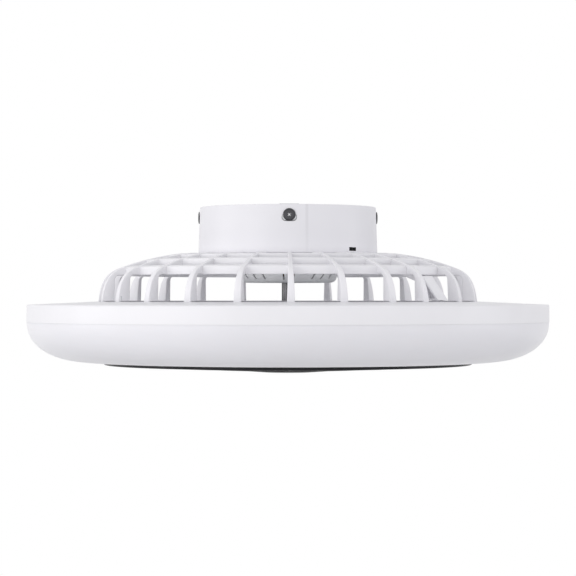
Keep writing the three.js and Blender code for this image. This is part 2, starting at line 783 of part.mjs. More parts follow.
function makeDuct() {
  const face = ductLine();
  const back = withFoot(inset(face, duct_thickness));
  const groove = withFoot(inset(face, duct_wall));
  const body = fin([...face, ...back.slice().reverse()], duct_width, duct_azimuth);
  const far = inset(face, duct_thickness + cut_overrun);
  const extend = (line) => {
    const [r, z] = line[line.length - 1];
    return [...line, [r, z - cut_overrun]];
  };
  const start = (line) => [[line[0][0] - cut_overrun, line[0][1]], ...line];
  const channel = fin(
    [...extend(start(groove)), ...extend(start(withFoot(far))).reverse()],
    duct_width - 2 * duct_wall, duct_azimuth,
  );
  return body.subtract(channel);
}
addPiece('cable_duct', makeDuct(), white_plastic);

// Lamp cable: from the control case down through the floor, along the duct, to the lamp board.
const case_z = canopy_floor_z + fit_gap;
const case_half = case_length / 2;
const case_corner_radius = canopyRoom(case_z, case_z + case_height) - case_canopy_gap;
const case_x0 = bell_radius + case_gap;
const case_x1 = Math.sqrt(case_corner_radius ** 2 - case_half ** 2);
const cable_entry_z = case_z + case_height / 2;
const connector_z = lamp_ceiling_z - fit_gap - board_thickness - fit_gap;

// A path through corners that are rounded, the last but one with a tighter bend.
function roundedPath(corners, tight_corner) {
  const path = new THREE.CurvePath();
  let from = corners[0];
  for (let i = 1; i < corners.length - 1; i += 1) {
    const corner = corners[i];
    const towards = corners[i + 1];
    const bend = i === tight_corner ? cable_foot_bend_radius : cable_bend_radius;
    const reach = Math.min(
      bend, corner.distanceTo(corners[i - 1]) / 2, corner.distanceTo(towards) / 2,
    );
    const enter = corner.clone().lerp(corners[i - 1], reach / corner.distanceTo(corners[i - 1]));
    const leave = corner.clone().lerp(towards, reach / corner.distanceTo(towards));
    path.add(new THREE.LineCurve3(from, enter));
    path.add(new THREE.QuadraticBezierCurve3(enter, corner, leave));
    from = leave;
  }
  path.add(new THREE.LineCurve3(from, corners[corners.length - 1]));
  return path;
}

function makeLampCable() {
  const at = (radius, z) => new THREE.Vector3(...onCircle(radius, duct_azimuth), z);
  const middle = inset(ductLine(), (duct_wall + duct_thickness) / 2);
  const entry_x = (case_x0 + case_x1) / 2;
  const riser = at(cable_rise_radius, cable_entry_z);
  const [top_r, top_z] = middle[0];
  const [[low_r, low_z], [foot_r, foot_z]] = middle.slice(-2);
  const turn_z = THREE.MathUtils.mapLinear(cable_foot_radius, low_r, foot_r, low_z, foot_z);
  const lamp_z = connector_z - connector_height / 2;
  const corners = [
    new THREE.Vector3(entry_x, -case_half - fit_gap, cable_entry_z),
    new THREE.Vector3(entry_x, riser.y, cable_entry_z),
    riser,
    at(cable_rise_radius, top_z),
    at(top_r, top_z),
    ...middle.slice(1, -1).map((place) => at(...place)),
    at(cable_foot_radius, turn_z),
    at(cable_foot_radius, lamp_z),
    at(board_inner_radius - 2 * fit_gap, lamp_z),
  ];
  const section = new THREE.Shape();
  section.absarc(0, 0, cable_radius, 0, full_turn);
  const points = roundedPath(corners, corners.length - 3).getSpacedPoints(3 * cable_steps);
  const settings = {
    steps: cable_steps, bevelEnabled: false, curveSegments: 3,
    extrudePath: new THREE.CatmullRomCurve3(points),
  };
  return solidOf(new THREE.ExtrudeGeometry(section, settings));
}
addPiece('lamp_cable', makeLampCable(), cable_grey);

function makeConnector() {
  const low = connector_z - connector_height;
  const near = board_inner_radius - fit_gap;
  const half = connector_size / 2;
  return turned(box(-half, half, -near - connector_size, -near, low, connector_z), duct_azimuth);
}
addPiece('lamp_connector', makeConnector(), pale_plastic);

// Motor: two bells clamp the canopy's floor and the cage's plate between them.
const bell_floor_z = flange_top_z - lower_bell_height;
const upper_bell_top_z = upper_bell_foot_z + upper_bell_height;
const pocket_radius = bearing_radius + fit_gap;
const boss_radius = pocket_radius + bearing_boss_wall;
const shaft_hole_radius = shaft_radius + fit_gap;
const vent_z = bell_floor_z + bell_corner + vent_height / 2;
const lower_bearing_z = bell_floor_z + bell_wall + fit_gap;
const upper_bearing_z = upper_bell_top_z - bell_wall - fit_gap - bearing_height;

function makeLowerBell() {
  const floor = bell_floor_z + bell_wall;
  const shell = revolved([
    [shaft_hole_radius, bell_floor_z], [bell_radius - bell_corner, bell_floor_z],
    [bell_radius - bell_corner / 3, bell_floor_z + bell_corner / 2],
    [bell_radius, bell_floor_z + 2 * bell_corner],
    [bell_radius, flange_top_z - flange_thickness],
    [flange_radius, flange_top_z - flange_thickness], [flange_radius, flange_top_z],
    [bell_radius - bell_wall, flange_top_z], [bell_radius - bell_wall, floor + bell_corner],
    [bell_radius - bell_wall - bell_corner, floor],
    [boss_radius, floor], [boss_radius, lower_bearing_z + bearing_height],
    [pocket_radius, lower_bearing_z + bearing_height], [pocket_radius, floor],
    [shaft_hole_radius, floor],
  ], motor_facets);
  const vents = [];
  vent_azimuths.forEach((azimuth, i) => {
    const vent = box(
      -vent_width / 2, vent_width / 2, -bell_radius - cut_overrun, -winding_outer_radius - fit_gap,
      -vent_height / 2, vent_height / 2,
    );
    [1, -1].forEach((side) => {
      const leaning = vent.rotate([0, side * vent_leans[i], 0]).translate([0, 0, vent_z]);
      vents.push(turned(leaning, side * azimuth), turned(leaning, 180 + side * azimuth));
    });
  });
  const low = flange_top_z - flange_thickness - cut_overrun;
  return cutFrom(shell, [...vents, ...motorScrewHoles(low, flange_top_z + cut_overrun)]);
}
addPiece('motor_lower_bell', makeLowerBell(), cast_alloy);

const lug_top_z = upper_bell_foot_z + lug_height;

function makeUpperBell() {
  const roof = upper_bell_top_z - bell_wall;
  const shell = revolved([
    [shaft_hole_radius, upper_bell_top_z], [shaft_hole_radius, roof],
    [pocket_radius, roof], [pocket_radius, upper_bearing_z], [boss_radius, upper_bearing_z],
    [boss_radius, roof], [bell_radius - bell_wall - bell_corner, roof],
    [bell_radius - bell_wall, roof - bell_corner], [bell_radius - bell_wall, upper_bell_foot_z],
    [bell_radius, upper_bell_foot_z], [bell_radius, upper_bell_top_z - bell_corner],
    [bell_radius - bell_corner, upper_bell_top_z],
  ], motor_facets);
  const lugs = motorScrewPlaces().map(([x, y]) => (
    upright(lug_radius, upper_bell_foot_z, lug_top_z, small_facets, x, y)
  ));
  const core_room = upright(
    bell_radius - bell_wall, upper_bell_foot_z - cut_overrun, roof - bell_corner, motor_facets,
  );
  const low = upper_bell_foot_z - cut_overrun;
  const holes = motorScrewHoles(low, lug_top_z - bell_wall);
  return cutFrom(shell.add(cutFrom(joined(lugs), [core_room])), holes);
}
addPiece('motor_upper_bell', makeUpperBell(), cast_alloy);

motorScrewPlaces().forEach(([x, y], i) => {
  const head_z = flange_top_z - flange_thickness - fit_gap;
  const length = lug_top_z - bell_wall - fit_gap - head_z;
  const screw = panScrew(motor_screw_head_radius, motor_screw_head_height, motor_screw_radius, length);
  addPiece(`motor_screw_${i + 1}`, screw.rotate([90, 0, 0]).translate([x, y, head_z]), bright_steel);
});

function tube(inner, outer, low, high, facets) {
  return revolved([[inner, low], [outer, low], [outer, high], [inner, high]], facets);
}

const core_radius = (bell_radius - bell_wall) * Math.cos(Math.PI / motor_facets) - fit_gap;
addPiece('stator_core', tube(
  rotor_radius + air_gap, core_radius, core_bottom_z, core_top_z, motor_facets,
), core_steel);
addPiece('winding_upper', tube(
  winding_inner_radius, winding_outer_radius, core_top_z + fit_gap,
  core_top_z + fit_gap + winding_height, motor_facets,
), copper);
addPiece('winding_lower', tube(
  winding_inner_radius, winding_outer_radius, core_bottom_z - fit_gap - winding_height,
  core_bottom_z - fit_gap, motor_facets,
), copper);
addPiece('rotor_core', tube(
  shaft_hole_radius, rotor_radius, core_bottom_z, core_top_z, motor_facets,
), core_steel);
addPiece('lower_bearing', tube(
  shaft_hole_radius, bearing_radius, lower_bearing_z, lower_bearing_z + bearing_height, small_facets,
), bright_steel);
addPiece('upper_bearing', tube(
  shaft_hole_radius, bearing_radius, upper_bearing_z, upper_bearing_z + bearing_height, small_facets,
), bright_steel);

// Shaft: it carries the rotor between the bearings and the fan wheel at its lower end.
const shaft_top_z = upper_bell_top_z - shaft_relief;
const nut_top_z = hub_bottom_z - fit_gap;
const shaft_bottom_z = nut_top_z - nut_bore_depth + fit_gap;
const pin_z = hub_top_z + pin_radius + fit_gap;

function crossBore(radius, length, facets) {
  const bore = new THREE.CylinderGeometry(radius, radius, length, facets);
  return solidOf(bore.translate(0, 0, pin_z));
}

function makeShaft() {
  const bar = upright(shaft_radius, shaft_bottom_z, shaft_top_z, small_facets);
  return bar.subtract(crossBore(pin_radius + fit_gap, 2 * shaft_radius + cut_overrun, hole_facets));
}
addPiece('motor_shaft', makeShaft(), dark_steel);
addPiece('drive_pin', crossBore(pin_radius, pin_length, hole_facets), bright_steel);

// Fan wheel: a cup hub with a sleeve on the shaft, and twisted blades moulded on it.
function bladeSolid(azimuth) {
  const rows = blade_steps_out + 1;
  const columns = blade_steps_along + 1;
  const positions = [];
  const mid_z = (hub_top_z + hub_bottom_z) / 2;
  [0.5, -0.5].forEach((side) => {
    for (let i = 0; i < rows; i += 1) {
      const out = i / blade_steps_out;
      const radius = between(hub_radius - blade_embed, wheel_radius, out);
      const angle = radians(between(blade_root_angle, blade_tip_angle, Math.sqrt(out)));
      const sweep = between(blade_root_sweep, blade_tip_sweep, out);
      for (let j = 0; j < columns; j += 1) {
        const along = j / blade_steps_along - 0.5;
        const rounding = 1 - 0.5 * (2 * along) ** 4 * out ** 6;
        const reach = radius * (i === blade_steps_out ? 1 : rounding);
        const turn = azimuth + blade_lead * out + along * sweep * rounding;
        const chord = radians(sweep) * radius * along;
        const height = Math.min(Math.max(
          chord * Math.tan(angle), blade_thickness - hub_height / 2,
        ), hub_height / 2 - blade_thickness);
        const [x, y] = onCircle(reach, turn);
        positions.push(x, y, mid_z + height + side * blade_thickness);
      }
    }
  });
  const index = [];
  const quad = (a, b, c, d) => index.push(a, b, c, a, c, d);
  const at = (side, i, j) => side * rows * columns + i * columns + j;
  for (let i = 0; i < blade_steps_out; i += 1) {
    for (let j = 0; j < blade_steps_along; j += 1) {
      quad(at(0, i, j), at(0, i + 1, j), at(0, i + 1, j + 1), at(0, i, j + 1));
      quad(at(1, i, j), at(1, i, j + 1), at(1, i + 1, j + 1), at(1, i + 1, j));
    }
    quad(at(0, i, 0), at(1, i, 0), at(1, i + 1, 0), at(0, i + 1, 0));
    const last = blade_steps_along;
    quad(at(0, i, last), at(0, i + 1, last), at(1, i + 1, last), at(1, i, last));
  }
  for (let j = 0; j < blade_steps_along; j += 1) {
    quad(at(0, 0, j), at(0, 0, j + 1), at(1, 0, j + 1), at(1, 0, j));
    const tip = blade_steps_out;
    quad(at(0, tip, j), at(1, tip, j), at(1, tip, j + 1), at(0, tip, j + 1));
  }
  const geometry = new THREE.BufferGeometry();
  geometry.setAttribute('position', new THREE.Float32BufferAttribute(positions, 3));
  geometry.setIndex(index);
  return solidOf(geometry);
}

function makeFanWheel() {
  const hub = revolved([
    [shaft_hole_radius, hub_bottom_z], [hub_sleeve_radius, hub_bottom_z],
    [hub_sleeve_radius, hub_top_z - hub_wall], [hub_radius - hub_wall, hub_top_z - hub_wall],
    [hub_radius - hub_wall, hub_bottom_z], [hub_radius, hub_bottom_z],
    [hub_radius, hub_top_z - hub_wall], [hub_radius - hub_wall, hub_top_z],
    [shaft_hole_radius, hub_top_z],
  ], motor_facets);
  const blades = around(blade_count, (i, azimuth) => bladeSolid(azimuth));
  const slot = box(
    -pin_radius - fit_gap, pin_radius + fit_gap, -pin_length / 2 - fit_gap, pin_length / 2 + fit_gap,
    pin_z - pin_radius - fit_gap, hub_top_z + cut_overrun,
  );
  const bore = upright(
    hub_radius - hub_wall, hub_bottom_z - cut_overrun, hub_top_z - hub_wall, motor_facets,
  );
  const blades_only = joined(blades).subtract(bore);
  return joined([hub, blades_only]).subtract(slot);
}
addPiece('fan_wheel', makeFanWheel(), pale_plastic);

// Spinner nut that holds the wheel on the shaft.
function makeNut() {
  const nut = revolved([
    [0, nut_top_z - nut_height], [nut_radius / 2, nut_top_z - nut_height],
    [nut_radius, nut_top_z - nut_height / 2], [nut_radius, nut_top_z], [0, nut_top_z],
  ], small_facets);
  return nut.subtract(upright(
    shaft_hole_radius, nut_top_z - nut_bore_depth, nut_top_z + cut_overrun, small_facets,
  ));
}
addPiece('spinner_nut', makeNut(), dark_plastic);

// Guard: a shallow cone of bars whose hooks turn in over the ledge of the light ring's bore.
const guard_rim_z = guard_top_z - guard_rim_height;
const guardHeight = (radius) => guard_rim_z - guard_fall * (1 - radius / guard_radius);
const recess_radius = guard_screw_head_radius + guard_recess_gap;
const recess_z = guardHeight(0) + guard_screw_head_height + fit_gap;

function makeGuard() {
  const rim_inner = guard_radius - guard_rim_width;
  const rim = revolved([
    [rim_inner, guardHeight(rim_inner)], [guard_radius, guard_rim_z],
    [guard_radius, guard_top_z], [rim_inner, guard_top_z],
  ], wide_facets);
  const hoops = guard_hoop_shares.map((share) => {
    const radius = guard_radius * share;
    const inner = radius - guard_bar_width;
    return revolved([
      [inner, guardHeight(inner)], [radius, guardHeight(radius)],
      [radius, guardHeight(radius) + guard_bar_height],
      [inner, guardHeight(inner) + guard_bar_height],
    ], guard_spokes);
  });
  const hub = revolved([
    [guard_screw_radius + fit_gap, recess_z], [recess_radius, recess_z],
    [recess_radius, guardHeight(recess_radius)], [guard_hub_radius, guardHeight(guard_hub_radius)],
    [guard_hub_radius, guardHeight(guard_hub_radius) + guard_hub_thickness],
    [guard_screw_radius + fit_gap, guardHeight(0) + guard_hub_thickness],
  ], motor_facets);
  const spoke_start = guard_hub_radius - guard_bar_width;
  const spoke_end = rim_inner + guard_bar_width;
  const spoke = [
    [spoke_start, guardHeight(spoke_start) + fit_gap], [spoke_end, guardHeight(spoke_end) + fit_gap],
    [spoke_end, guardHeight(spoke_end) + guard_spoke_rise],
    [spoke_start, guardHeight(spoke_start) + guard_spoke_rise],
  ];
  const spokes = around(guard_spokes, (i, azimuth) => (
    fin(spoke, guard_bar_width, azimuth)
  ));
  const half = hook_width / 2;
  const hook_room = (bore_radius - ledge_width) * facet_shrink - fit_gap;
  const hook_outer = Math.sqrt(hook_room ** 2 - half ** 2);
  const hook_inner = hook_outer - hook_thickness;
  const hook_outline = [
    [hook_inner, guard_top_z - guard_rim_height / 2], [hook_outer, guard_top_z - guard_rim_height / 2],
    [hook_outer, ledge_top_z + fit_gap], [hook_outer + hook_reach, ledge_top_z + fit_gap],
    [hook_outer + hook_reach, ledge_top_z + fit_gap + hook_thickness],
    [hook_inner, ledge_top_z + fit_gap + hook_thickness],
  ];
  const hooks = around(guard_hooks, (i, azimuth) => fin(hook_outline, 2 * half, azimuth));
  return joined([rim, ...hoops, hub, ...spokes, ...hooks]);
}
addPiece('bottom_guard', makeGuard(), dark_plastic);

// Plastic nut on the guard's centre, drawn down by its own screw.
function makeGuardBoss() {
  const low = guardHeight(guard_boss_radius) + guard_hub_thickness + fit_gap;
  const high = low + guard_screw_length;
  const boss = revolved([
    [0, low], [guard_boss_radius, low], [guard_boss_radius, low + guard_boss_edge],
    [guard_boss_radius / 2, high], [0, high],
  ], small_facets);
  return boss.subtract(upright(
    guard_screw_radius + fit_gap, low - cut_overrun, high - guard_boss_edge, hole_facets,
  ));
}
addPiece('guard_boss', makeGuardBoss(), dark_plastic);

function makeGuardScrew() {
  const head_top = recess_z - fit_gap;
  const screw = panScrew(
    guard_screw_head_radius, guard_screw_head_height, guard_screw_radius, guard_screw_length,
  );
  return screw.rotate([90, 0, 0]).translate([0, 0, head_top]);
}
addPiece('guard_screw', makeGuardScrew(), black_plastic);

// Control case, its lid and the circuit in it, on the canopy's floor beside the motor.
function makeCase() {
  const outer = box(case_x0, case_x1, -case_half, case_half, case_z, case_z + case_height);
  const room = box(
    case_x0 + case_wall, case_x1 - case_wall, case_wall - case_half, case_half - case_wall,
    case_z + case_wall, case_z + case_height + cut_overrun,
  );
  return outer.subtract(room);
}
addPiece('control_case', makeCase(), pale_plastic);

const lid_z = case_z + case_height + fit_gap;
addPiece('control_lid', box(
  case_x0, case_x1, -case_half, case_half, lid_z, lid_z + lid_thickness,
), pale_plastic);

function makeCircuit() {
  const inside = case_wall + fit_gap;
  const low = case_z + case_wall + fit_gap;
  const board_low = low + circuit_rise;
  const board_high = board_low + circuit_thickness;
  const half = case_half - inside;
  const [x0, x1] = [case_x0 + inside, case_x1 - inside];
  const board = box(x0, x1, -half, half, board_low, board_high);
  const foot_top = board_low + circuit_thickness / 2;
  const foot = box(x0, x1, -half, case_wall - half, low, foot_top);
  const feet = [foot, turned(foot.translate([-x0 - x1, 0, 0]), 180)];
  const step = (2 * half) / 4;
  const parts = [-1, 0, 1].map((place) => box(
    x0 + inside, x1 - inside, place * step - step / 3, place * step + step / 3,
    foot_top, board_high + component_height,
  ));
  return joined([board, ...feet, ...parts]);
}
addPiece('control_circuit', makeCircuit(), circuit_green);

// Terminal block for the house wiring.
function makeTerminals() {
  const half = terminal_length / 2;
  const x1 = -bell_radius - terminal_gap;
  const x0 = x1 - terminal_width;
  const z1 = canopy_floor_z + fit_gap + terminal_height;
  const block = box(x0, x1, -half, half, canopy_floor_z + fit_gap, z1);
  const pitch = terminal_length / terminal_ways;
  const wells = around(terminal_ways, (i) => upright(
    pitch / 4, z1 - terminal_height / 2, z1 + cut_overrun, hole_facets,
    (x0 + x1) / 2, pitch * (i + 0.5) - half,
  ));
  return cutFrom(block, wells);
}
addPiece('terminal_block', makeTerminals(), pale_plastic);

export default fan;
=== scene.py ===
"""Low caged ceiling fan with a ring light, dressed for a studio picture.

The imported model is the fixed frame. Each sub-assembly is a class whose fields are sizes in millimetres
in that frame: +Z up, the ceiling at height 0, azimuths counted in degrees from the front, -Y, to +X.
"""

import json
import logging
import math
from abc import ABC, abstractmethod
from collections.abc import Iterable, Sequence
from dataclasses import dataclass, field
from enum import Enum
from typing import Any

import bmesh
import bpy
import numpy as np
from mathutils import Matrix, Vector

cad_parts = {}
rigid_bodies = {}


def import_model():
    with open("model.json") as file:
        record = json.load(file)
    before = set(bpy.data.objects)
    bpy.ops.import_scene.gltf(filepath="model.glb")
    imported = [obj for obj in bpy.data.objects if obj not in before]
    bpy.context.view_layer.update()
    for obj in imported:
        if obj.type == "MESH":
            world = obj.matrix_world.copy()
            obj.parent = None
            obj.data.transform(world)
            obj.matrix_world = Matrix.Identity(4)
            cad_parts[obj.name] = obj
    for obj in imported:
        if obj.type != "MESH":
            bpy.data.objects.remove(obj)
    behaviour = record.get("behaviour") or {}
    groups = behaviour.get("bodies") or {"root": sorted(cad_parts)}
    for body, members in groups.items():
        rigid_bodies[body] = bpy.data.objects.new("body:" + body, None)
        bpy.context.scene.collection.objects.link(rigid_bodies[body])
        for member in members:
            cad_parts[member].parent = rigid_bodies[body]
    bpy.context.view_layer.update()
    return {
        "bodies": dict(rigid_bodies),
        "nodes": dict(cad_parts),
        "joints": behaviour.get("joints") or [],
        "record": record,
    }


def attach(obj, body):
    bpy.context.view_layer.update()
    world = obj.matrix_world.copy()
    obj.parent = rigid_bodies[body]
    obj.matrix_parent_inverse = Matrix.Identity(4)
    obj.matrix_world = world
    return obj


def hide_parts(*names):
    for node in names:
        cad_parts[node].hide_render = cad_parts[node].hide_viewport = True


LOG = logging.getLogger("fan")
MM = 0.001
# The most of a side that a rounded corner takes, and the angle below which a corner counts as straight
CORNER_REACH = 0.49
NEARLY_STRAIGHT = 0.02
# A radius that counts as zero, the steps of a smooth curve and of a full turn, and a cutter's reach
ON_AXIS = 1e-9
CURVE_STEPS = 60
FINE = 192
THROUGH = 5.0
Point = tuple[float, float]
Corner = tuple[float, float, float]
Place = tuple[float, float, float]
Colour = tuple[float, float, float]


class Body(Enum):
    """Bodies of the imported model."""

    FIXED = "fixed_body"
    ROTOR = "rotor"


class Slot(Enum):
    """Material slots of the record."""

    WHITE = "white_plastic"
    FROSTED = "frosted_plastic"
    DARK = "dark_plastic"
    BLACK = "black_plastic"
    PALE = "pale_plastic"
    ALLOY = "cast_alloy"
    BRIGHT = "bright_steel"
    DARK_STEEL = "dark_steel"
    CORE = "core_steel"
    COPPER = "copper"
    CIRCUIT = "circuit_green"
    BOARD = "board_white"
    CABLE = "cable_grey"


# Outlines


def between(start: float, end: float, share: float) -> float:
    """Returns the value that lies the given share of the way from start to end."""
    return start + (end - start) * share


def on_circle(radius: float, azimuth: float) -> Point:
    """Returns x and y of the place on a level circle at an azimuth."""
    turn = math.radians(azimuth)
    return radius * math.sin(turn), -radius * math.cos(turn)


def bezier(controls: Sequence[Point], steps: int) -> list[Point]:
    """Samples a Bezier curve of any degree.

    Args:
        controls: The curve's control points.
        steps: How many stretches the curve is cut into.

    Returns:
        The points along the curve, both ends among them.
    """
    degree = len(controls) - 1
    shares = np.linspace(0.0, 1.0, steps + 1)[:, None]
    weights = [math.comb(degree, k) * shares**k * (1 - shares) ** (degree - k) for k in range(degree + 1)]
    points = sum(weight * np.array(control) for weight, control in zip(weights, controls))
    return [tuple(point) for point in points]


def rounded(corners: Iterable[Corner | Point], steps: int = 4) -> list[Point]:
    """Rounds the corners of a closed outline.

    Args:
        corners: Points (x, y) or (x, y, fillet radius) in order.
        steps: How many stretches each rounded corner gets.

    Returns:
        The outline's points.
    """
    given = [tuple(corner) + (0.0,) * (3 - len(corner)) for corner in corners]
    points: list[Point] = []
    for i, (x, y, radius) in enumerate(given):
        here = np.array((x, y))
        back = np.array(given[i - 1][:2]) - here
        ahead = np.array(given[(i + 1) % len(given)][:2]) - here
        reach = min(np.linalg.norm(back), np.linalg.norm(ahead)) * CORNER_REACH
        back, ahead = back / np.linalg.norm(back), ahead / np.linalg.norm(ahead)
        half = math.acos(float(np.clip(back @ ahead, -1.0, 1.0))) / 2
        if radius <= 0 or half > math.pi / 2 - NEARLY_STRAIGHT:
            points.append((x, y))
            continue
        along = min(radius / math.tan(half), reach)
        radius = along * math.tan(half)
        middle = back + ahead
        centre = here + middle / np.linalg.norm(middle) * radius / math.sin(half)
        start, end = here + back * along - centre, here + ahead * along - centre
        sweep = math.pi - 2 * half
        for k in range(steps + 1):
            share = k / steps
            spoke = (math.sin((1 - share) * sweep) * start + math.sin(share * sweep) * end) / math.sin(sweep)
            points.append(tuple(centre + spoke))
    return points


def spaced(points: Sequence[Point], steps: int) -> list[Point]:
    """Finds places at even distances along a line.

    Args:
        points: The line's points.
        steps: How many stretches it is cut into.

    Returns:
        The places, both ends among them.
    """
    line = np.array(points, float)
    lengths = np.concatenate([[0.0], np.cumsum(np.linalg.norm(np.diff(line, axis=0), axis=1))])
    marks = np.linspace(0.0, lengths[-1], steps + 1)
    return [tuple(float(np.interp(mark, lengths, line[:, axis])) for axis in range(2)) for mark in marks]


def disc(radius: float, x: float = 0.0, y: float = 0.0, sides: int = 24) -> list[Point]:
    """Returns a circle about a place."""
    turns = np.arange(sides) * math.tau / sides
    return [(x + radius * math.cos(a), y + radius * math.sin(a)) for a in turns]


def obround(length: float, width: float, steps: int = 10) -> list[Point]:
    """Draws a rectangle with round ends, centred at the origin.

    Args:
        length: Its whole length, along x.
        width: Its width.
        steps: How many stretches each round end gets.

    Returns:
        The outline's points.
    """
    half, end = length / 2 - width / 2, width / 2
    turns = np.linspace(-math.pi / 2, math.pi / 2, steps + 1)
    right = [(half + end * math.cos(a), end * math.sin(a)) for a in turns]
    return right + [(-x, -y) for x, y in right]


def bar_section(width: float, depth: float, edge: float, steps: int = 3) -> list[Point]:
    """Returns a rounded rectangle that is centred at the origin."""
    x, y = width / 2, depth / 2
    return rounded([(-x, -y, edge), (x, -y, edge), (x, y, edge), (-x, y, edge)], steps)


# Shapes


class Shape:
    """Points and faces, in millimetres, that become one mesh."""

    def __init__(self) -> None:
        """Starts with nothing in it."""
        self.points: list[Place] = []
        self.faces: list[tuple[int, ...]] = []

    def add(self, points: Iterable[Sequence[float]], faces: Iterable[Sequence[int]]) -> "Shape":
        """Adds points and the faces between them.

        Args:
            points: The new points.
            faces: Their faces, counted from the first of these points.

        Returns:
            The shape itself.
        """
        start = len(self.points)
        self.points += [tuple(map(float, point)) for point in points]
        self.faces += [tuple(start + i for i in face) for face in faces]
        return self

    def lathe(self, outline: Sequence[Point], segments: int, closed: bool = True) -> "Shape":
        """Turns an outline about the fan's axis.

        Args:
            outline: Points (radius, height); a radius of zero lies on the axis.
            segments: How many stretches a full turn has.
            closed: Whether the last point joins the first.

        Returns:
            The shape itself.
        """
        points: list[Place] = []
        rows: list[list[int]] = []
        for radius, height in outline:
            count = 1 if abs(radius) < ON_AXIS else segments
            rows.append([len(points) + (k if count > 1 else 0) for k in range(segments)])
            points += [(*on_circle(radius, 360 * k / segments), height) for k in range(count)]
        faces = []
        last = len(rows) if closed else len(rows) - 1
        for i in range(last):
            low, high = rows[i], rows[(i + 1) % len(rows)]
            for k in range(segments):
                n = (k + 1) % segments
                corners = list(dict.fromkeys((low[k], low[n], high[n], high[k])))
                if len(corners) > 2:
                    faces.append(corners)
        return self.add(points, faces)

    def loft(self, sections: Sequence[Sequence[Sequence[float]]], ring: bool = False) -> "Shape":
        """Skins a row of closed sections that have as many points each.

        Args:
            sections: Each section's points in space.
            ring: Whether the last section joins the first, in place of two end caps.

        Returns:
            The shape itself.
        """
        count, size = len(sections), len(sections[0])
        points = [point for section in sections for point in section]
        faces = []
        for i in range(count if ring else count - 1):
            j = (i + 1) % count
            for k in range(size):
                n = (k + 1) % size
                faces.append((i * size + k, i * size + n, j * size + n, j * size + k))
        if not ring:
            faces.append(tuple(range(size))[::-1])
            faces.append(tuple((count - 1) * size + k for k in range(size)))
        return self.add(points, faces)

    def prism(self, outline: Sequence[Point], low: float, high: float) -> "Shape":
        """Raises an outline in the level plane from one height to another."""
        return self.loft([[(x, y, z) for x, y in outline] for z in (low, high)])

    def slab(self, outline: Sequence[Point], left: float, right: float) -> "Shape":
        """Spreads an upright outline, (radius, height) at the front, from one side to the other."""
        return self.loft([[(x, -r, z) for r, z in outline] for x in (left, right)])

    def box(self, low: Sequence[float], high: Sequence[float]) -> "Shape":
        """Adds an upright box between two corners."""
        (x0, y0, z0), (x1, y1, z1) = low, high
        return self.prism([(x0, y0), (x1, y0), (x1, y1), (x0, y1)], z0, z1)

    def tube(self, path: Sequence[Sequence[float]], radius: float, sides: int = 12) -> "Shape":
        """Adds a round bar along a path, with level caps at its ends.

        Args:
            path: Points along its middle.
            radius: The bar's radius.
            sides: How many sides its section has.

        Returns:
            The shape itself.
        """
        line = np.array(path, float)
        ahead = np.gradient(line, axis=0)
        ahead /= np.linalg.norm(ahead, axis=1)[:, None]
        side = np.cross(ahead[0], (0.0, 0.0, 1.0) if abs(ahead[0][2]) < 0.9 else (1.0, 0.0, 0.0))
        sections = []
        for here, way in zip(line, ahead):
            side = side - way * (side @ way)
            side /= np.linalg.norm(side)
            up = np.cross(way, side)
            turns = np.arange(sides) * math.tau / sides
            sections.append([here + radius * (math.cos(a) * side + math.sin(a) * up) for a in turns])
        return self.loft(sections)

    def moved(self, matrix: Matrix) -> "Shape":
        """Copies the shape to another place.

        Args:
            matrix: The 4x4 matrix that moves it.

        Returns:
            The moved copy.
        """
        copy = Shape()
        copy.points = [tuple(matrix @ Vector(point)) for point in self.points]
        copy.faces = list(self.faces)
        return copy

    def turned(self, azimuth: float) -> "Shape":
        """Returns a copy turned from the front to an azimuth."""
        return self.moved(Matrix.Rotation(math.radians(azimuth), 4, "Z"))

    def around(self, count: int, first: float = 0.0) -> "Shape":
        """Sets copies of the shape round the fan's axis.

        Args:
            count: How many there are, evenly spaced.
            first: The azimuth of the first.

        Returns:
            All of them as one shape.
        """
        ring = Shape()
        for i in range(count):
            ring.join(self.turned(first + 360 * i / count))
        return ring

    def join(self, *others: "Shape") -> "Shape":
        """Takes in other shapes as they are.

        Args:
            others: The other shapes.

        Returns:
            The shape itself.
        """
        for other in others:
            self.add(other.points, other.faces)
        return self

    def mesh(self, name: str, sharp: float = 35.0) -> bpy.types.Mesh:
        """Makes the mesh.

        Args:
            name: The mesh's name.
            sharp: Edges sharper than this many degrees stay sharp.

        Returns:
            The mesh, in metres.
        """
        mesh = bpy.data.meshes.new(name)
        mesh.from_pydata([tuple(MM * v for v in point) for point in self.points], [], self.faces)
        work = bmesh.new()
        work.from_mesh(mesh)
        bmesh.ops.recalc_face_normals(work, faces=work.faces)
        work.to_mesh(mesh)
        work.free()
        return smoothed(mesh, sharp)


def smoothed(mesh: bpy.types.Mesh, sharp: float) -> bpy.types.Mesh:
    """Shades a mesh smooth.

    Args:
        mesh: The mesh.
        sharp: Edges sharper than this many degrees stay sharp.

    Returns:
        The same mesh.
    """
    mesh.polygons.foreach_set("use_smooth", [True] * len(mesh.polygons))
    mesh.set_sharp_from_angle(angle=math.radians(sharp))
    return mesh


def modified(mesh: bpy.types.Mesh, kind: str, **settings: Any) -> bpy.types.Mesh:
    """Applies one modifier to a mesh.

    Args:
        mesh: What it works on.
        kind: The modifier's type.
        settings: Its settings by name.

    Returns:
        The new mesh.
    """
    holder = bpy.data.objects.new("holder", mesh)
    bpy.context.scene.collection.objects.link(holder)
    modifier = holder.modifiers.new(kind.title(), kind)
    for key, value in settings.items():
        setattr(modifier, key, value)
    graph = bpy.context.evaluated_depsgraph_get()
    result = bpy.data.meshes.new_from_object(holder.evaluated_get(graph), depsgraph=graph)
    result.name = mesh.name
    bpy.data.objects.remove(holder)
    return result


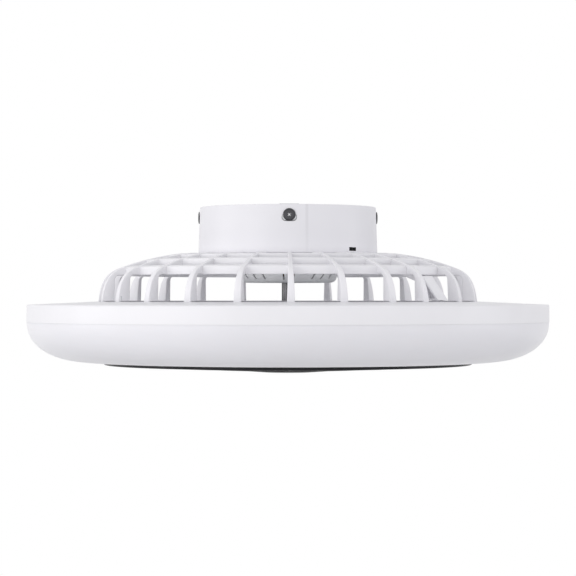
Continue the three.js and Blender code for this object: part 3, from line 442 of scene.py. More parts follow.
def cut(mesh: bpy.types.Mesh, cutter: Shape, sharp: float = 35.0, inner: bpy.types.Material | None = None
        ) -> bpy.types.Mesh:
    """Cuts a shape out of a mesh.

    Args:
        mesh: What is cut.
        cutter: What is taken away.
        sharp: Edges sharper than this many degrees stay sharp.
        inner: A material for the faces that the cut makes.

    Returns:
        The new mesh.
    """
    tool = bpy.data.objects.new("cutter", cutter.mesh("cutter"))
    if inner:
        tool.data.materials.append(inner)
    bpy.context.scene.collection.objects.link(tool)
    result = modified(
        mesh, "BOOLEAN", operation="DIFFERENCE", solver="EXACT", object=tool, use_self=True,
        material_mode="TRANSFER",
    )
    bpy.data.objects.remove(tool)
    return smoothed(result, sharp)


def bevelled(mesh: bpy.types.Mesh, width: float, steps: int = 2) -> bpy.types.Mesh:
    """Rounds a mesh's sharp edges by a width in millimetres."""
    result = modified(mesh, "BEVEL", width=width * MM, segments=steps, limit_method="ANGLE")
    return smoothed(result, sharp=40.0)


# Shader graphs


class Wire:
    """An output socket; arithmetic on it adds Math nodes."""

    def __init__(self, graph: "Graph", socket: bpy.types.NodeSocket) -> None:
        """Keeps the graph and the socket."""
        self.graph = graph
        self.socket = socket

    def math(self, operation: str, *values: "Wire | float") -> "Wire":
        """Adds one Math node on these values."""
        return self.graph.node("ShaderNodeMath", {"operation": operation}, dict(enumerate(values)))

    def __add__(self, other: "Wire | float") -> "Wire":
        """Sum."""
        return self.math("ADD", self, other)

    def __radd__(self, other: float) -> "Wire":
        """Sum, number first."""
        return self.math("ADD", other, self)

    def __sub__(self, other: "Wire | float") -> "Wire":
        """Difference."""
        return self.math("SUBTRACT", self, other)

    def __rsub__(self, other: float) -> "Wire":
        """Difference, number first."""
        return self.math("SUBTRACT", other, self)

    def __mul__(self, other: "Wire | float") -> "Wire":
        """Product."""
        return self.math("MULTIPLY", self, other)

    def __rmul__(self, other: float) -> "Wire":
        """Product, number first."""
        return self.math("MULTIPLY", other, self)

    def step(self, low: float, high: float) -> "Wire":
        """Rises smoothly from 0 at low to 1 at high."""
        values = {"Value": self, "From Min": low, "From Max": high}
        return self.graph.node("ShaderNodeMapRange", {"interpolation_type": "SMOOTHSTEP"}, values)


class Graph:
    """The node tree of one material or world."""

    def __init__(self, owner: bpy.types.Material | bpy.types.World) -> None:
        """Empties the owner's tree.

        Args:
            owner: The material or world.
        """
        owner.use_nodes = True
        self.tree = owner.node_tree
        self.tree.nodes.clear()

    def node(self, kind: str, settings: dict[str, Any] | None = None,
             values: dict[str | int, Any] | None = None, output: int | str = 0) -> Wire:
        """Adds a node.

        Args:
            kind: The node's type.
            settings: Its properties by name.
            values: Its inputs by name or number: numbers, colours or wires.
            output: Which output is wanted.

        Returns:
            That output.
        """
        made = self.tree.nodes.new(kind)
        for key, value in (settings or {}).items():
            setattr(made, key, value)
        for key, value in (values or {}).items():
            if isinstance(value, Wire):
                self.tree.links.new(value.socket, made.inputs[key])
            else:
                made.inputs[key].default_value = value
        return Wire(self, made.outputs[output])

    def places(self) -> Wire:
        """Returns the place on the object, in metres in the frame."""
        return self.node("ShaderNodeTexCoord", output="Object")

    def axes(self) -> tuple[Wire, Wire, Wire]:
        """Returns x, y and z of the place, in metres."""
        split = self.node("ShaderNodeSeparateXYZ", values={"Vector": self.places()}).socket.node
        return Wire(self, split.outputs[0]), Wire(self, split.outputs[1]), Wire(self, split.outputs[2])

    def noise(self, scale: float, detail: float = 2.0, stretch: Place = (1.0, 1.0, 1.0)) -> Wire:
        """Adds noise.

        Args:
            scale: Cells per metre.
            detail: Finer layers on top.
            stretch: How the place is scaled first, by axis.

        Returns:
            A value about 0.5.
        """
        place = self.node("ShaderNodeVectorMath", {"operation": "MULTIPLY"}, {0: self.places(), 1: stretch})
        return self.node("ShaderNodeTexNoise", values={"Vector": place, "Scale": scale, "Detail": detail})

    def mix(self, share: Wire | float, first: Any, second: Any) -> Wire:
        """Mixes two colours.

        Args:
            share: The second colour's share.
            first: A colour or a wire.
            second: Another colour or wire.

        Returns:
            The mixed colour.
        """
        colours = [value if isinstance(value, Wire) else (*value, 1.0) for value in (first, second)]
        values = {0: share, 6: colours[0], 7: colours[1]}
        return self.node("ShaderNodeMix", {"data_type": "RGBA"}, values, output=2)

    def bump(self, height: Wire, depth: float, strength: float = 1.0, normal: Wire | None = None) -> Wire:
        """Turns a height into a normal.

        Args:
            height: The height's pattern.
            depth: What a height of 1 stands for, in millimetres.
            strength: How much of it shows.
            normal: Another normal that lies below it.

        Returns:
            The normal.
        """
        values: dict[str | int, Any] = {"Height": height, "Distance": depth * MM, "Strength": strength}
        if normal:
            values["Normal"] = normal
        return self.node("ShaderNodeBump", values=values)

    def edge(self, radius: float) -> Wire:
        """Returns a normal that rounds edges by a radius in millimetres."""
        return self.node("ShaderNodeBevel", {"samples": 6}, {"Radius": radius * MM})

    def surface(self, **values: Any) -> None:
        """Adds the shader and the material's output.

        Args:
            values: The shader's inputs; a name's underscores stand for spaces.
        """
        named = {key.replace("_", " "): value for key, value in values.items()}
        shader = self.node("ShaderNodeBsdfPrincipled", values=named)
        self.finish("ShaderNodeOutputMaterial", shader)

    def finish(self, kind: str, shader: Wire) -> None:
        """Adds the output node that shows a shader."""
        self.tree.links.new(shader.socket, self.tree.nodes.new(kind).inputs["Surface"])


# Finishes


@dataclass(frozen=True)
class Finish(ABC):
    """A surface that a shader graph draws."""

    name: str
    colour: Colour
    roughness: float

    def material(self) -> bpy.types.Material:
        """Makes a new material with this finish.

        Returns:
            The material.
        """
        made = bpy.data.materials.new(self.name)
        made.diffuse_color = (*self.colour, 1.0)
        self.draw(Graph(made))
        return made

    @abstractmethod
    def draw(self, graph: Graph) -> None:
        """Draws the finish.

        Args:
            graph: The material's empty graph.
        """

    def uneven(self, *patterns: tuple[Wire, float]) -> Wire:
        """Varies the roughness.

        Args:
            patterns: Noises about 0.5, each with how much it changes the roughness.

        Returns:
            The roughness all over the surface.
        """
        total: Wire | float = self.roughness
        for pattern, amount in patterns:
            total = total + amount * (pattern - 0.5)
        return total

    def tinted(self, graph: Graph, share: Wire, amount: float) -> Wire:
        """Returns the colour, darker by the amount where the share is 1."""
        dark = tuple(channel * (1 - amount) for channel in self.colour)
        return graph.mix(share, self.colour, dark)


@dataclass(frozen=True)
class MouldedPlastic(Finish):
    """Satin moulded plastic: faint clouding, a fine grain and softened edges."""

    clouding: float = 0.02
    grain: float = 0.012
    edge: float = 0.5
    gloss: float = 0.5

    def draw(self, graph: Graph) -> None:
        """Draws the finish.

        Args:
            graph: The material's empty graph.
        """
        cloud = graph.noise(scale=24.0, detail=3.0)
        grain = graph.noise(scale=2600.0)
        waves = graph.noise(scale=60.0, detail=1.0)
        below = graph.edge(self.edge) if self.edge else None
        graph.surface(
            Base_Color=self.tinted(graph, cloud.step(0.3, 0.75), self.clouding),
            Roughness=self.uneven((cloud, 0.06), (grain, 0.04)),
            Specular_IOR_Level=self.gloss,
            Normal=graph.bump(waves * 2.0 + grain, depth=self.grain, strength=0.6, normal=below),
        )


@dataclass(frozen=True)
class PaintedSheet(Finish):
    """Powder-coated sheet steel with the welded seam of a rolled drum; the seam's groove is darkened with
    painted shade that fades towards the bottom.
    """

    seam_azimuth: float = 11.0
    seam_width: float = 2.2
    seam_foot: float = -46.0
    seam_top: float = -4.0
    seam_least: float = 0.4

    def draw(self, graph: Graph) -> None:
        """Draws the finish.

        Args:
            graph: The material's empty graph.
        """
        x, y, z = graph.axes()
        turn = math.radians(self.seam_azimuth)
        across = x * math.cos(turn) + y * math.sin(turn)
        near = x * math.sin(turn) - y * math.cos(turn)
        width = self.seam_width * MM
        groove = 1.0 - across.math("ABSOLUTE", across).step(0.2 * width, width)
        # The seam mask darkens the colour as painted shade of the groove, weaker towards the bottom; the same
        # mask also roughens and dents the surface
        rise = z.step(self.seam_foot * MM, self.seam_top * MM)
        seam = groove * near.step(0.0, 0.01) * (self.seam_least + (1.0 - self.seam_least) * rise)
        cloud = graph.noise(scale=18.0, detail=3.0)
        peel = graph.noise(scale=900.0)
        graph.surface(
            Base_Color=self.tinted(graph, 0.15 * cloud.step(0.3, 0.75) + 0.8 * seam, 0.1),
            Roughness=self.uneven((cloud, 0.06)) + 0.1 * seam,
            Specular_IOR_Level=0.25,
            Normal=graph.bump(peel * 0.5 - seam, depth=0.02, strength=0.7),
        )


@dataclass(frozen=True)
class FrostedPlastic(Finish):
    """Milky diffuser: light spreads below a smooth skin."""

    def draw(self, graph: Graph) -> None:
        """Draws the finish.

        Args:
            graph: The material's empty graph.
        """
        cloud = graph.noise(scale=16.0)
        frost = graph.noise(scale=3200.0, detail=1.0)
        graph.surface(
            Base_Color=self.tinted(graph, cloud.step(0.35, 0.7), 0.012),
            Roughness=self.uneven((cloud, 0.05)),
            Subsurface_Weight=0.25,
            Subsurface_Radius=(1.0, 0.95, 0.9),
            Subsurface_Scale=0.004,
            Specular_IOR_Level=0.2,
            Normal=graph.bump(frost, depth=0.006, strength=0.4),
        )


@dataclass(frozen=True)
class CastMetal(Finish):
    """Cast alloy under thin grey paint, with the casting's grain."""

    metallic: float = 0.2

    def draw(self, graph: Graph) -> None:
        """Draws the finish.

        Args:
            graph: The material's empty graph.
        """
        cloud = graph.noise(scale=35.0, detail=4.0)
        grain = graph.noise(scale=1400.0, detail=3.0)
        graph.surface(
            Base_Color=self.tinted(graph, cloud.step(0.3, 0.7), 0.08),
            Roughness=self.uneven((grain, 0.12)),
            Metallic=self.metallic,
            Normal=graph.bump(grain, depth=0.03, strength=0.6, normal=graph.edge(0.4)),
        )


@dataclass(frozen=True)
class Steel(Finish):
    """Steel with the fine marks of turning or brushing, stretched by axis."""

    stretch: Place = (1.0, 1.0, 1.0)
    scale: float = 900.0
    metallic: float = 1.0

    def draw(self, graph: Graph) -> None:
        """Draws the finish.

        Args:
            graph: The material's empty graph.
        """
        marks = graph.noise(self.scale, detail=3.0, stretch=self.stretch)
        stain = graph.noise(scale=60.0, detail=3.0)
        graph.surface(
            Base_Color=self.tinted(graph, stain.step(0.35, 0.75), 0.12),
            Roughness=self.uneven((marks, 0.18), (stain, 0.08)),
            Metallic=self.metallic,
            Normal=graph.bump(marks, depth=0.01, strength=0.5, normal=graph.edge(0.2)),
        )


@dataclass(frozen=True)
class Laminations(Finish):
    """Stacked thin sheets that show as level lines."""

    sheet: float = 0.5

    def draw(self, graph: Graph) -> None:
        """Draws the finish.

        Args:
            graph: The material's empty graph.
        """
        _, _, z = graph.axes()
        phase = z * (1 / (self.sheet * MM))
        line = phase.math("PINGPONG", phase, 0.5).step(0.05, 0.2)
        stain = graph.noise(scale=80.0, detail=3.0)
        graph.surface(
            Base_Color=self.tinted(graph, (1.0 - line) * 0.7 + stain * 0.3, 0.5),
            Roughness=self.uneven((stain, 0.2)),
            Metallic=0.8,
            Normal=graph.bump(line, depth=0.04),
        )


@dataclass(frozen=True)
class Winding(Finish):
    """Varnished wire whose turns run round the ring."""

    wire: float = 0.6

    def draw(self, graph: Graph) -> None:
        """Draws the finish.

        Args:
            graph: The material's empty graph.
        """
        x, y, z = graph.axes()
        radius = x.math("SQRT", x * x + y * y)
        turns = z.math("SINE", (radius + z) * (math.tau / (self.wire * MM)))
        drift = graph.noise(scale=140.0)
        graph.surface(
            Base_Color=self.tinted(graph, drift * 0.6 + (0.5 - 0.5 * turns) * 0.4, 0.45),
            Roughness=self.uneven((drift, 0.15)),
            Metallic=0.85,
            Coat_Weight=0.6,
            Coat_Roughness=0.15,
            Normal=graph.bump(turns, depth=0.12),
        )


@dataclass(frozen=True)
class CircuitBoard(Finish):
    """Solder resist with lighter tracks, and parts that stand on it in another colour."""

    parts: Colour = (0.03, 0.03, 0.035)
    parts_from: float = 0.0
    parts_to: float = 0.0

    def draw(self, graph: Graph) -> None:
        """Draws the finish.

        Args:
            graph: The material's empty graph.
        """
        _, _, z = graph.axes()
        black, white = (0.0, 0.0, 0.0, 1.0), (1.0, 1.0, 1.0, 1.0)
        cells = graph.node("ShaderNodeTexBrick", {"offset": 0.5}, {
            "Vector": graph.places(), "Scale": 120.0, "Color1": black, "Color2": black, "Mortar": white,
            "Mortar Size": 0.03,
        }, output="Color")
        light = tuple(min(1.0, channel * 1.35 + 0.02) for channel in self.colour)
        board = graph.mix(graph.node("ShaderNodeRGBToBW", values={0: cells}), self.colour, light)
        on_parts = z.step(self.parts_from * MM, self.parts_to * MM)
        speck = graph.noise(scale=500.0)
        graph.surface(
            Base_Color=graph.mix(on_parts, board, self.parts),
            Roughness=self.uneven((speck, 0.15)),
            Normal=graph.bump(speck, depth=0.02, strength=0.5),
        )


@dataclass(frozen=True)
class Rubber(Finish):
    """Soft sheath with a dull, slightly uneven skin."""

    def draw(self, graph: Graph) -> None:
        """Draws the finish.

        Args:
            graph: The material's empty graph.
        """
        skin = graph.noise(scale=1100.0, detail=3.0)
        cloud = graph.noise(scale=70.0)
        graph.surface(
            Base_Color=self.tinted(graph, cloud.step(0.3, 0.7), 0.1),
            Roughness=self.uneven((skin, 0.1)),
            Normal=graph.bump(skin, depth=0.03, strength=0.5),
        )


FINISHES: dict[Slot, Finish] = {
    Slot.WHITE: MouldedPlastic("moulded_white", (0.81, 0.803, 0.833), 0.42, gloss=0.3),
    Slot.FROSTED: FrostedPlastic("frosted_white", (0.79, 0.783, 0.822), 0.34),
    Slot.DARK: MouldedPlastic(
        "moulded_dark", (0.014, 0.014, 0.016), 0.36, clouding=0.1, grain=0.02, gloss=0.16,
    ),
    Slot.BLACK: MouldedPlastic(
        "moulded_black", (0.006, 0.006, 0.008), 0.3, clouding=0.1, edge=0.1, gloss=0.08,
    ),
    Slot.PALE: MouldedPlastic("moulded_pale", (0.62, 0.63, 0.66), 0.5, clouding=0.04, grain=0.02),
    Slot.ALLOY: CastMetal("cast_grey", (0.80, 0.805, 0.82), 0.5),
    Slot.BRIGHT: Steel("zinc_steel", (0.62, 0.63, 0.65), 0.34),
    Slot.DARK_STEEL: Steel("black_steel", (0.05, 0.05, 0.055), 0.36, metallic=0.7),
    Slot.CORE: Laminations("laminated_steel", (0.28, 0.29, 0.3), 0.5),
    Slot.COPPER: Winding("varnished_copper", (0.55, 0.22, 0.1), 0.35),
    Slot.CIRCUIT: CircuitBoard(
        "circuit_board", (0.02, 0.13, 0.06), 0.4, parts_from=-35.9, parts_to=-35.7,
    ),
    Slot.BOARD: CircuitBoard(
        "lamp_circuit", (0.8, 0.79, 0.75), 0.4, parts=(0.75, 0.6, 0.12), parts_from=-96.4, parts_to=-96.6,
    ),
    Slot.CABLE: Rubber("cable_sheath", (0.55, 0.56, 0.58), 0.6),
}
SHEET = PaintedSheet("painted_sheet", (0.785, 0.778, 0.812), 0.4)
SHAFT = Steel("shaft_steel", (0.088, 0.087, 0.092), 0.22, stretch=(1.0, 1.0, 12.0), metallic=0.85)
# Lighter steel for the cross recess of the canopy screws: a painted highlight
RECESS_HIGHLIGHT = Steel("recess_highlight_steel", (0.45, 0.45, 0.46), 0.4)
# Dark steel for the drum's cut faces: a bare cut edge, and painted shade that outlines the slots
BARE_EDGE_AND_SHADE = Steel("bare_edge_and_shade", (0.16, 0.16, 0.165), 0.5, metallic=0.5)


class Display:
    """Puts meshes into the scene, with their finish, on their body."""

    def __init__(self, frame: dict[str, Any]) -> None:
        """Makes one material for each slot.

        Args:
            frame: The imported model, whose nodes it keeps.
        """
        self.nodes: dict[str, bpy.types.Object] = frame["nodes"]
        self.materials = {slot: finish.material() for slot, finish in FINISHES.items()}
        self.shown: set[str] = set()

    def show(self, name: str, mesh: bpy.types.Mesh, slot: Slot, replaces: Sequence[str],
             body: Body = Body.FIXED, material: bpy.types.Material | None = None) -> bpy.types.Object:
        """Shows one piece.

        Args:
            name: The piece's name.
            mesh: Its mesh in the frame, in metres.
            slot: The material slot that it takes its finish from.
            replaces: The nodes that it stands for.
            body: The body that it rides on.
            material: A finish of its own, in place of the slot's.

        Returns:
            The piece.
        """
        piece = bpy.data.objects.new(name, mesh)
        bpy.context.scene.collection.objects.link(piece)
        chosen = material or self.materials[slot]
        if mesh.materials:
            mesh.materials[0] = chosen
        else:
            mesh.materials.append(chosen)
        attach(piece, body.value)
        if replaces:
            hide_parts(*replaces)
            self.shown.update(replaces)
        LOG.info("piece %s: %d faces, on %s, for %s", name, len(mesh.polygons), body.value, list(replaces))
        return piece

    def dress(self, slot: Slot, *names: str) -> None:
        """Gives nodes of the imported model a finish.

        Args:
            slot: The material slot that the finish is for.
            names: The nodes.
        """
        for name in names:
            node = self.nodes[name]
            node.data.materials.clear()
            node.data.materials.append(self.materials[slot])
            self.shown.add(name)
            LOG.info("node %s: finish %s", name, slot.value)

    def bare(self) -> list[str]:
        """Returns the nodes that nothing stands for and nothing dresses."""
        return sorted(set(self.nodes) - self.shown)


# Sub-assemblies


@dataclass
class Screw:
    """A pan-head screw with a cross recess; its axis is +Z and the head's underside is at 0."""

    head: float
    height: float
    shank: float
    length: float
    cross: float
    cross_width: float
    cross_depth: float
    brim: float = 0.3
    crown: float = 0.93
    tip: float = 0.6
    cross_foot: float = 0.55
    cross_mouth: float = 1.15

    def mesh(self, name: str, place: Matrix, inner: bpy.types.Material | None = None) -> bpy.types.Mesh:
        """Makes the screw's mesh.

        Args:
            name: The mesh's name.
            place: Where its axis and its head's underside go.
            inner: A finish for the recess.

        Returns:
            The mesh in the frame.
        """
        top = self.height
        dome = bezier([(self.head, top * self.brim), (self.head * self.crown, top), (0.0, top)], 10)
        tip = self.shank * self.tip
        outline = [
            (0.0, -self.length), (tip, -self.length), (self.shank, tip - self.length), (self.shank, 0.0),
            (self.head * 0.97, 0.0), (self.head, top * 0.1), *dome,
        ]
        body = Shape().lathe(outline, 40, closed=False)
        cutter = Shape()
        for turn in (0, 90):
            half, wide = self.cross / 2, self.cross_width / 2
            sections = []
            for z, shrink in ((top - self.cross_depth, self.cross_foot), (top + 1.0, self.cross_mouth)):
                x, y = half * shrink, wide * (0.5 + shrink / 2)
                sections.append([(-x, -y, z), (x, -y, z), (x, y, z), (-x, y, z)])
            cutter.join(Shape().loft(sections).turned(turn))
        mesh = body.moved(place).mesh(name)
        mesh.materials.append(None)
        return cut(mesh, cutter.moved(place), inner=inner)


def axis_place(x: float, y: float, z: float, outward: Sequence[float], turn: float = 0.0) -> Matrix:
    """Returns the place of a part whose +Z axis points outward, turned about it by some degrees."""
    spin = Matrix.Rotation(math.radians(turn), 4, "Z")
    return Matrix.Translation((x, y, z)) @ Vector(outward).to_track_quat("Z", "Y").to_matrix().to_4x4() @ spin


@dataclass
class Canopy:
    """Drum of painted sheet, its screws, the bracket that it hangs by and the receiver's window."""

    top: float = -0.6
    bottom: float = -45.7
    top_radius: float = 84.6
    bottom_radius: float = 86.1
    wall: float = 2.0
    floor: float = 2.0
    motor_hole: float = 45.4
    slot_length: float = 13.9
    slot_width: float = 6.4
    slot_height: float = -12.8
    slot_chamfer: float = 0.45
    slot_flare: float = 3.0
    window_azimuth: float = 43.9
    window_size: Point = (9.2, 3.5)
    window_height: float = -41.8
    cable_place: Point = (74.0, 51.3)
    screw: Screw = field(default_factory=lambda: Screw(5.9, 1.3, 2.0, 12.0, 4.6, 1.2, 0.9))
    screw_height: float = -10.5
    screw_seat: float = 85.1
    screw_turn: float = 45.0
    cable_hole: float = 3.0
    tab: float = 82.4
    strip_half: float = 9.0
    sheet: float = 2.0
    drop: float = 17.0
    bend: float = 2.5
    ceiling_slot: Point = (22.0, 5.0)
    ceiling_slot_radius: float = 48.0
    block_set_back: float = 1.7
    block: Place = (4.3, 8.0, 1.5)
    housing_low: Place = (-5.4, -80.3, -43.4)
    housing_high: Place = (5.4, -76.0, -35.4)
    lens: Point = (1.3, 0.6)

    def radius_at(self, z: float) -> float:
        """Returns the drum's outer radius at a height."""
        return between(self.top_radius, self.bottom_radius, (self.top - z) / (self.top - self.bottom))

    def on_wall(self, height: float) -> Matrix:
        """Returns the place in front, on the drum's wall, whose +Z axis points outwards."""
        place = Matrix.Translation((0.0, -self.radius_at(height), height))
        return place @ Matrix.Rotation(math.pi / 2, 4, "X")

    def slot_cutter(self) -> Shape:
        """Shapes what is cut from the wall in front for a slot with a chamfered outer edge.

        Returns:
            The cutter.
        """
        chamfer, flare = self.slot_chamfer, self.slot_flare
        sections = []
        for depth, wider in ((-THROUGH, 0.0), (-chamfer, 0.0), (0.0, chamfer), (flare, flare)):
            outline = obround(self.slot_length + 2 * wider, self.slot_width + 2 * wider)
            sections.append([(x, y, depth) for x, y in outline])
        return Shape().loft(sections).moved(self.on_wall(self.slot_height))

    def drum(self) -> bpy.types.Mesh:
        """Makes the drum with its slots, window and cable hole.

        Returns:
            The mesh.
        """
        inner_foot = self.radius_at(self.bottom + self.floor) - self.wall
        shell = Shape().lathe(rounded([
            (self.motor_hole, self.bottom, 0.3), (self.bottom_radius, self.bottom, 0.8),
            (self.top_radius, self.top, 0.7), (self.top_radius - self.wall, self.top, 0.5),
            (inner_foot, self.bottom + self.floor, 1.0), (self.motor_hole, self.bottom + self.floor, 0.3),
        ]), FINE)
        cutter = self.slot_cutter().around(4)
        window = Shape().prism(bar_section(*self.window_size, 0.5), -THROUGH, THROUGH)
        cutter.join(window.moved(self.on_wall(self.window_height)).turned(self.window_azimuth))
        hole = disc(self.cable_hole, *on_circle(*self.cable_place))
        cutter.join(Shape().prism(hole, self.bottom - 2, self.bottom + 4))
        mesh = shell.mesh("canopy_drum")
        mesh.materials.append(None)
        # The cut faces take dark steel: a bare edge, and painted shade round the slots, window and hole
        return cut(mesh, cutter, inner=BARE_EDGE_AND_SHADE.material())

    def bracket(self) -> bpy.types.Mesh:
        """Makes the cross of sheet steel with its four turned-down ends.

        Returns:
            The mesh.
        """
        sheet, drop, bend = self.sheet, self.drop, self.bend
        side = rounded([
            (-self.tab, -drop, 0.0), (-self.tab, 0.0, bend), (self.tab, 0.0, bend), (self.tab, -drop, 0.0),
            (self.tab - sheet, -drop, 0.0), (self.tab - sheet, -sheet, bend - 1.5),
            (sheet - self.tab, -sheet, bend - 1.5), (sheet - self.tab, -drop, 0.0),
        ], 5)
        strip = Shape().loft([[(x, y, z) for x, z in side] for y in (-self.strip_half, self.strip_half)])
        slot = [(y, x - self.ceiling_slot_radius) for x, y in obround(*self.ceiling_slot)]
        mesh = Shape().join(strip, strip.turned(90)).mesh("bracket_cross")
        return bevelled(cut(mesh, Shape().prism(slot, -4.0, 2.0).around(4)), 0.25)

    def receiver(self) -> bpy.types.Mesh:
        """Makes the receiver: a black block with a domed lens behind the window.

        Returns:
            The mesh.
        """
        height = self.window_height
        face = self.radius_at(height) - self.block_set_back
        half, deep, tall = self.block
        body = Shape().box((-half, -face, height - tall), (half, -face + deep, height + tall))
        body.box(self.housing_low, self.housing_high)
        wide, proud = self.lens
        dome = [(wide * math.cos(a), proud * math.sin(a)) for a in np.linspace(0.0, math.pi / 2, 9)]
        dome[-1] = (0.0, proud)
        lens = Shape().lathe([(0.0, -1.0), (wide, -1.0), *dome], 32, closed=False)
        body.join(lens.moved(axis_place(0.0, -face, height, (0.0, -1.0, 0.0))))
        return body.turned(self.window_azimuth).mesh("receiver_block")

    def build(self, display: Display) -> None:
        """Shows the canopy, its screws, the bracket and the receiver.

        Args:
            display: Where they are shown.
        """
        display.show("canopy_drum", self.drum(), Slot.WHITE, ["canopy"], material=SHEET.material())
        # The canopy screws' recesses take lighter steel: a painted highlight in the cross
        recess_highlight = RECESS_HIGHLIGHT.material()
        for quarter, side in enumerate(("front", "right", "back", "left")):
            azimuth = 90.0 * quarter
            x, y = on_circle(self.screw_seat, azimuth)
            place = axis_place(x, y, self.screw_height, (*on_circle(1.0, azimuth), 0.0), self.screw_turn)
            mesh = self.screw.mesh(f"cross_screw_{side}", place, recess_highlight)
            display.show(f"cross_screw_{side}", mesh, Slot.DARK_STEEL, [f"canopy_screw_{side}"])
        display.show("bracket_cross", self.bracket(), Slot.BRIGHT, ["ceiling_bracket"])
        display.show("receiver_block", self.receiver(), Slot.BLACK, ["ir_receiver"])


@dataclass
class Cage:
    """One moulding: crown plate, ribs, three rings and the hoop that the light ring hangs from."""

    ribs: int = 24
    nudges: dict[int, float] = field(default_factory=lambda: {
        1: 0.05, 2: 0.1, 3: -2.65, 7: -3.0, 9: 0.9, 10: 0.8, 11: 0.4,
        20: -0.6, 21: -0.3, 22: -0.3, 23: -0.05,
    })
    foot: Point = (182.4, -91.7)
    shoulder: Point = (158.0, -57.3)
    crown: Point = (105.0, -45.1)
    foot_inner: Point = (170.8, -91.7)
    corner_inner: Corner = (169.3, -66.2, 4.0)
    shoulder_inner: Point = (158.0, -66.2)
    crown_inner: Point = (105.0, -52.9)
    inner_end: float = 86.7
    plate: tuple[Point, Point] = ((45.4, -48.4), (97.0, -46.0))
    widths: tuple[float, float, float] = (7.1, 3.9, 3.5)
    edge: float = 0.7
    wall_shares: tuple[Point, Point] = ((0.1, 0.655), (0.36, 0.86))
    roof_share: Point = (0.465, 0.73)
    rings: tuple[Corner, ...] = ((159.4, 7.4, 1.2), (139.4, 6.7, 0.2), (117.4, 4.0, 0.2))
    ring_depth: float = 5.0
    ring_bevel: float = 1.3
    hoop: tuple[Point, ...] = ((168.0, -91.9), (174.5, -91.9), (181.0, -90.2), (168.0, -90.2))
    cable_hole: Corner = (74.0, 51.3, 3.0)
    steps: int = 20

    def wall_line(self) -> list[Point]:
        """Draws a rib's outer line from foot to shoulder.

        Returns:
            Points (radius, height) along it.
        """
        controls = [tuple(between(a, b, share) for a, b, share in zip(self.foot, self.shoulder, shares))
                    for shares in self.wall_shares]
        return spaced(bezier([self.foot, *controls, self.shoulder], CURVE_STEPS), self.steps)

    def roof_line(self, shoulder: Point, crown: Point) -> list[Point]:
        """Returns a rib's outer or inner line from shoulder to crown."""
        control = tuple(between(a, b, share) for a, b, share in zip(shoulder, crown, self.roof_share))
        return spaced(bezier([shoulder, control, crown], CURVE_STEPS), self.steps)[1:]

    def height_at(self, radius: float) -> float:
        """Returns the height of the ribs' outer line at a radius."""
        line = (self.wall_line() + self.roof_line(self.shoulder, self.crown))[::-1]
        return float(np.interp(radius, [r for r, _ in line], [z for _, z in line]))

    def rib(self, azimuth: float) -> Shape:
        """Shapes one rib as a skin over rounded sections.

        Args:
            azimuth: Where the rib stands.

        Returns:
            The rib.
        """
        inner_wall = rounded([self.foot_inner, self.corner_inner, self.shoulder_inner], 10)
        outer = self.wall_line() + self.roof_line(self.shoulder, self.crown)
        inner = spaced(inner_wall, self.steps) + self.roof_line(self.shoulder_inner, self.crown_inner)
        outer.append((self.inner_end, self.crown[1]))
        inner.append((self.inner_end, self.plate[0][1]))
        turn = math.radians(azimuth)
        out = np.array((math.sin(turn), -math.cos(turn), 0.0))
        across = np.array((math.cos(turn), math.sin(turn), 0.0))
        up = np.array((0.0, 0.0, 1.0))
        widths = np.interp(np.arange(len(outer)) / self.steps, (0.0, 1.0, 2.0), self.widths)
        sections = []
        for far, near, width in zip(outer, inner, widths):
            far_point = out * far[0] + up * far[1]
            near_point = out * near[0] + up * near[1]
            depth = float(np.linalg.norm(far_point - near_point))
            way = (far_point - near_point) / depth
            middle = (far_point + near_point) / 2
            section = bar_section(width, depth, self.edge)
            sections.append([middle + across * x + way * y for x, y in section])
        return Shape().loft(sections)

    def ring(self, radius: float, height: float, recess: float) -> Shape:
        """Returns one level ring between the ribs.

        Args:
            radius: Its outer radius.
            height: How high its outer face is.
            recess: How far it lies below the ribs' outer line.

        Returns:
            The ring.
        """
        inner = radius - self.ring_depth
        top = self.height_at(radius) - recess
        bottom = top - height
        return Shape().lathe(rounded([
            (radius, bottom, 0.4), (radius, top, 0.5), (inner, self.height_at(inner) - recess, 0.6),
            (inner, bottom + self.ring_bevel, 0.5),
        ], 3), FINE)

    def build(self, display: Display) -> None:
        """Shows the cage and its crown plate.

        Args:
            display: Where they are shown.
        """
        cage = Shape()
        for i in range(self.ribs):
            cage.join(self.rib(360 * i / self.ribs + self.nudges.get(i, 0.0)))
        for ring in self.rings:
            cage.join(self.ring(*ring))
        cage.lathe(self.hoop, FINE)
        display.show("cage_moulding", cage.mesh("cage_moulding"), Slot.WHITE, ["cage"])
        (near, low), (far, high) = self.plate
        plate = Shape().lathe(rounded([
            (near, low, 0.3), (far, low, 0.8), (far, high, 0.8), (near, high, 0.3),
        ]), 160).mesh("crown_plate")
        radius, azimuth, hole = self.cable_hole
        bore = Shape().prism(disc(hole, *on_circle(radius, azimuth)), low - 2.0, high + 2.0)
        display.show("crown_plate", cut(plate, bore), Slot.WHITE, [])


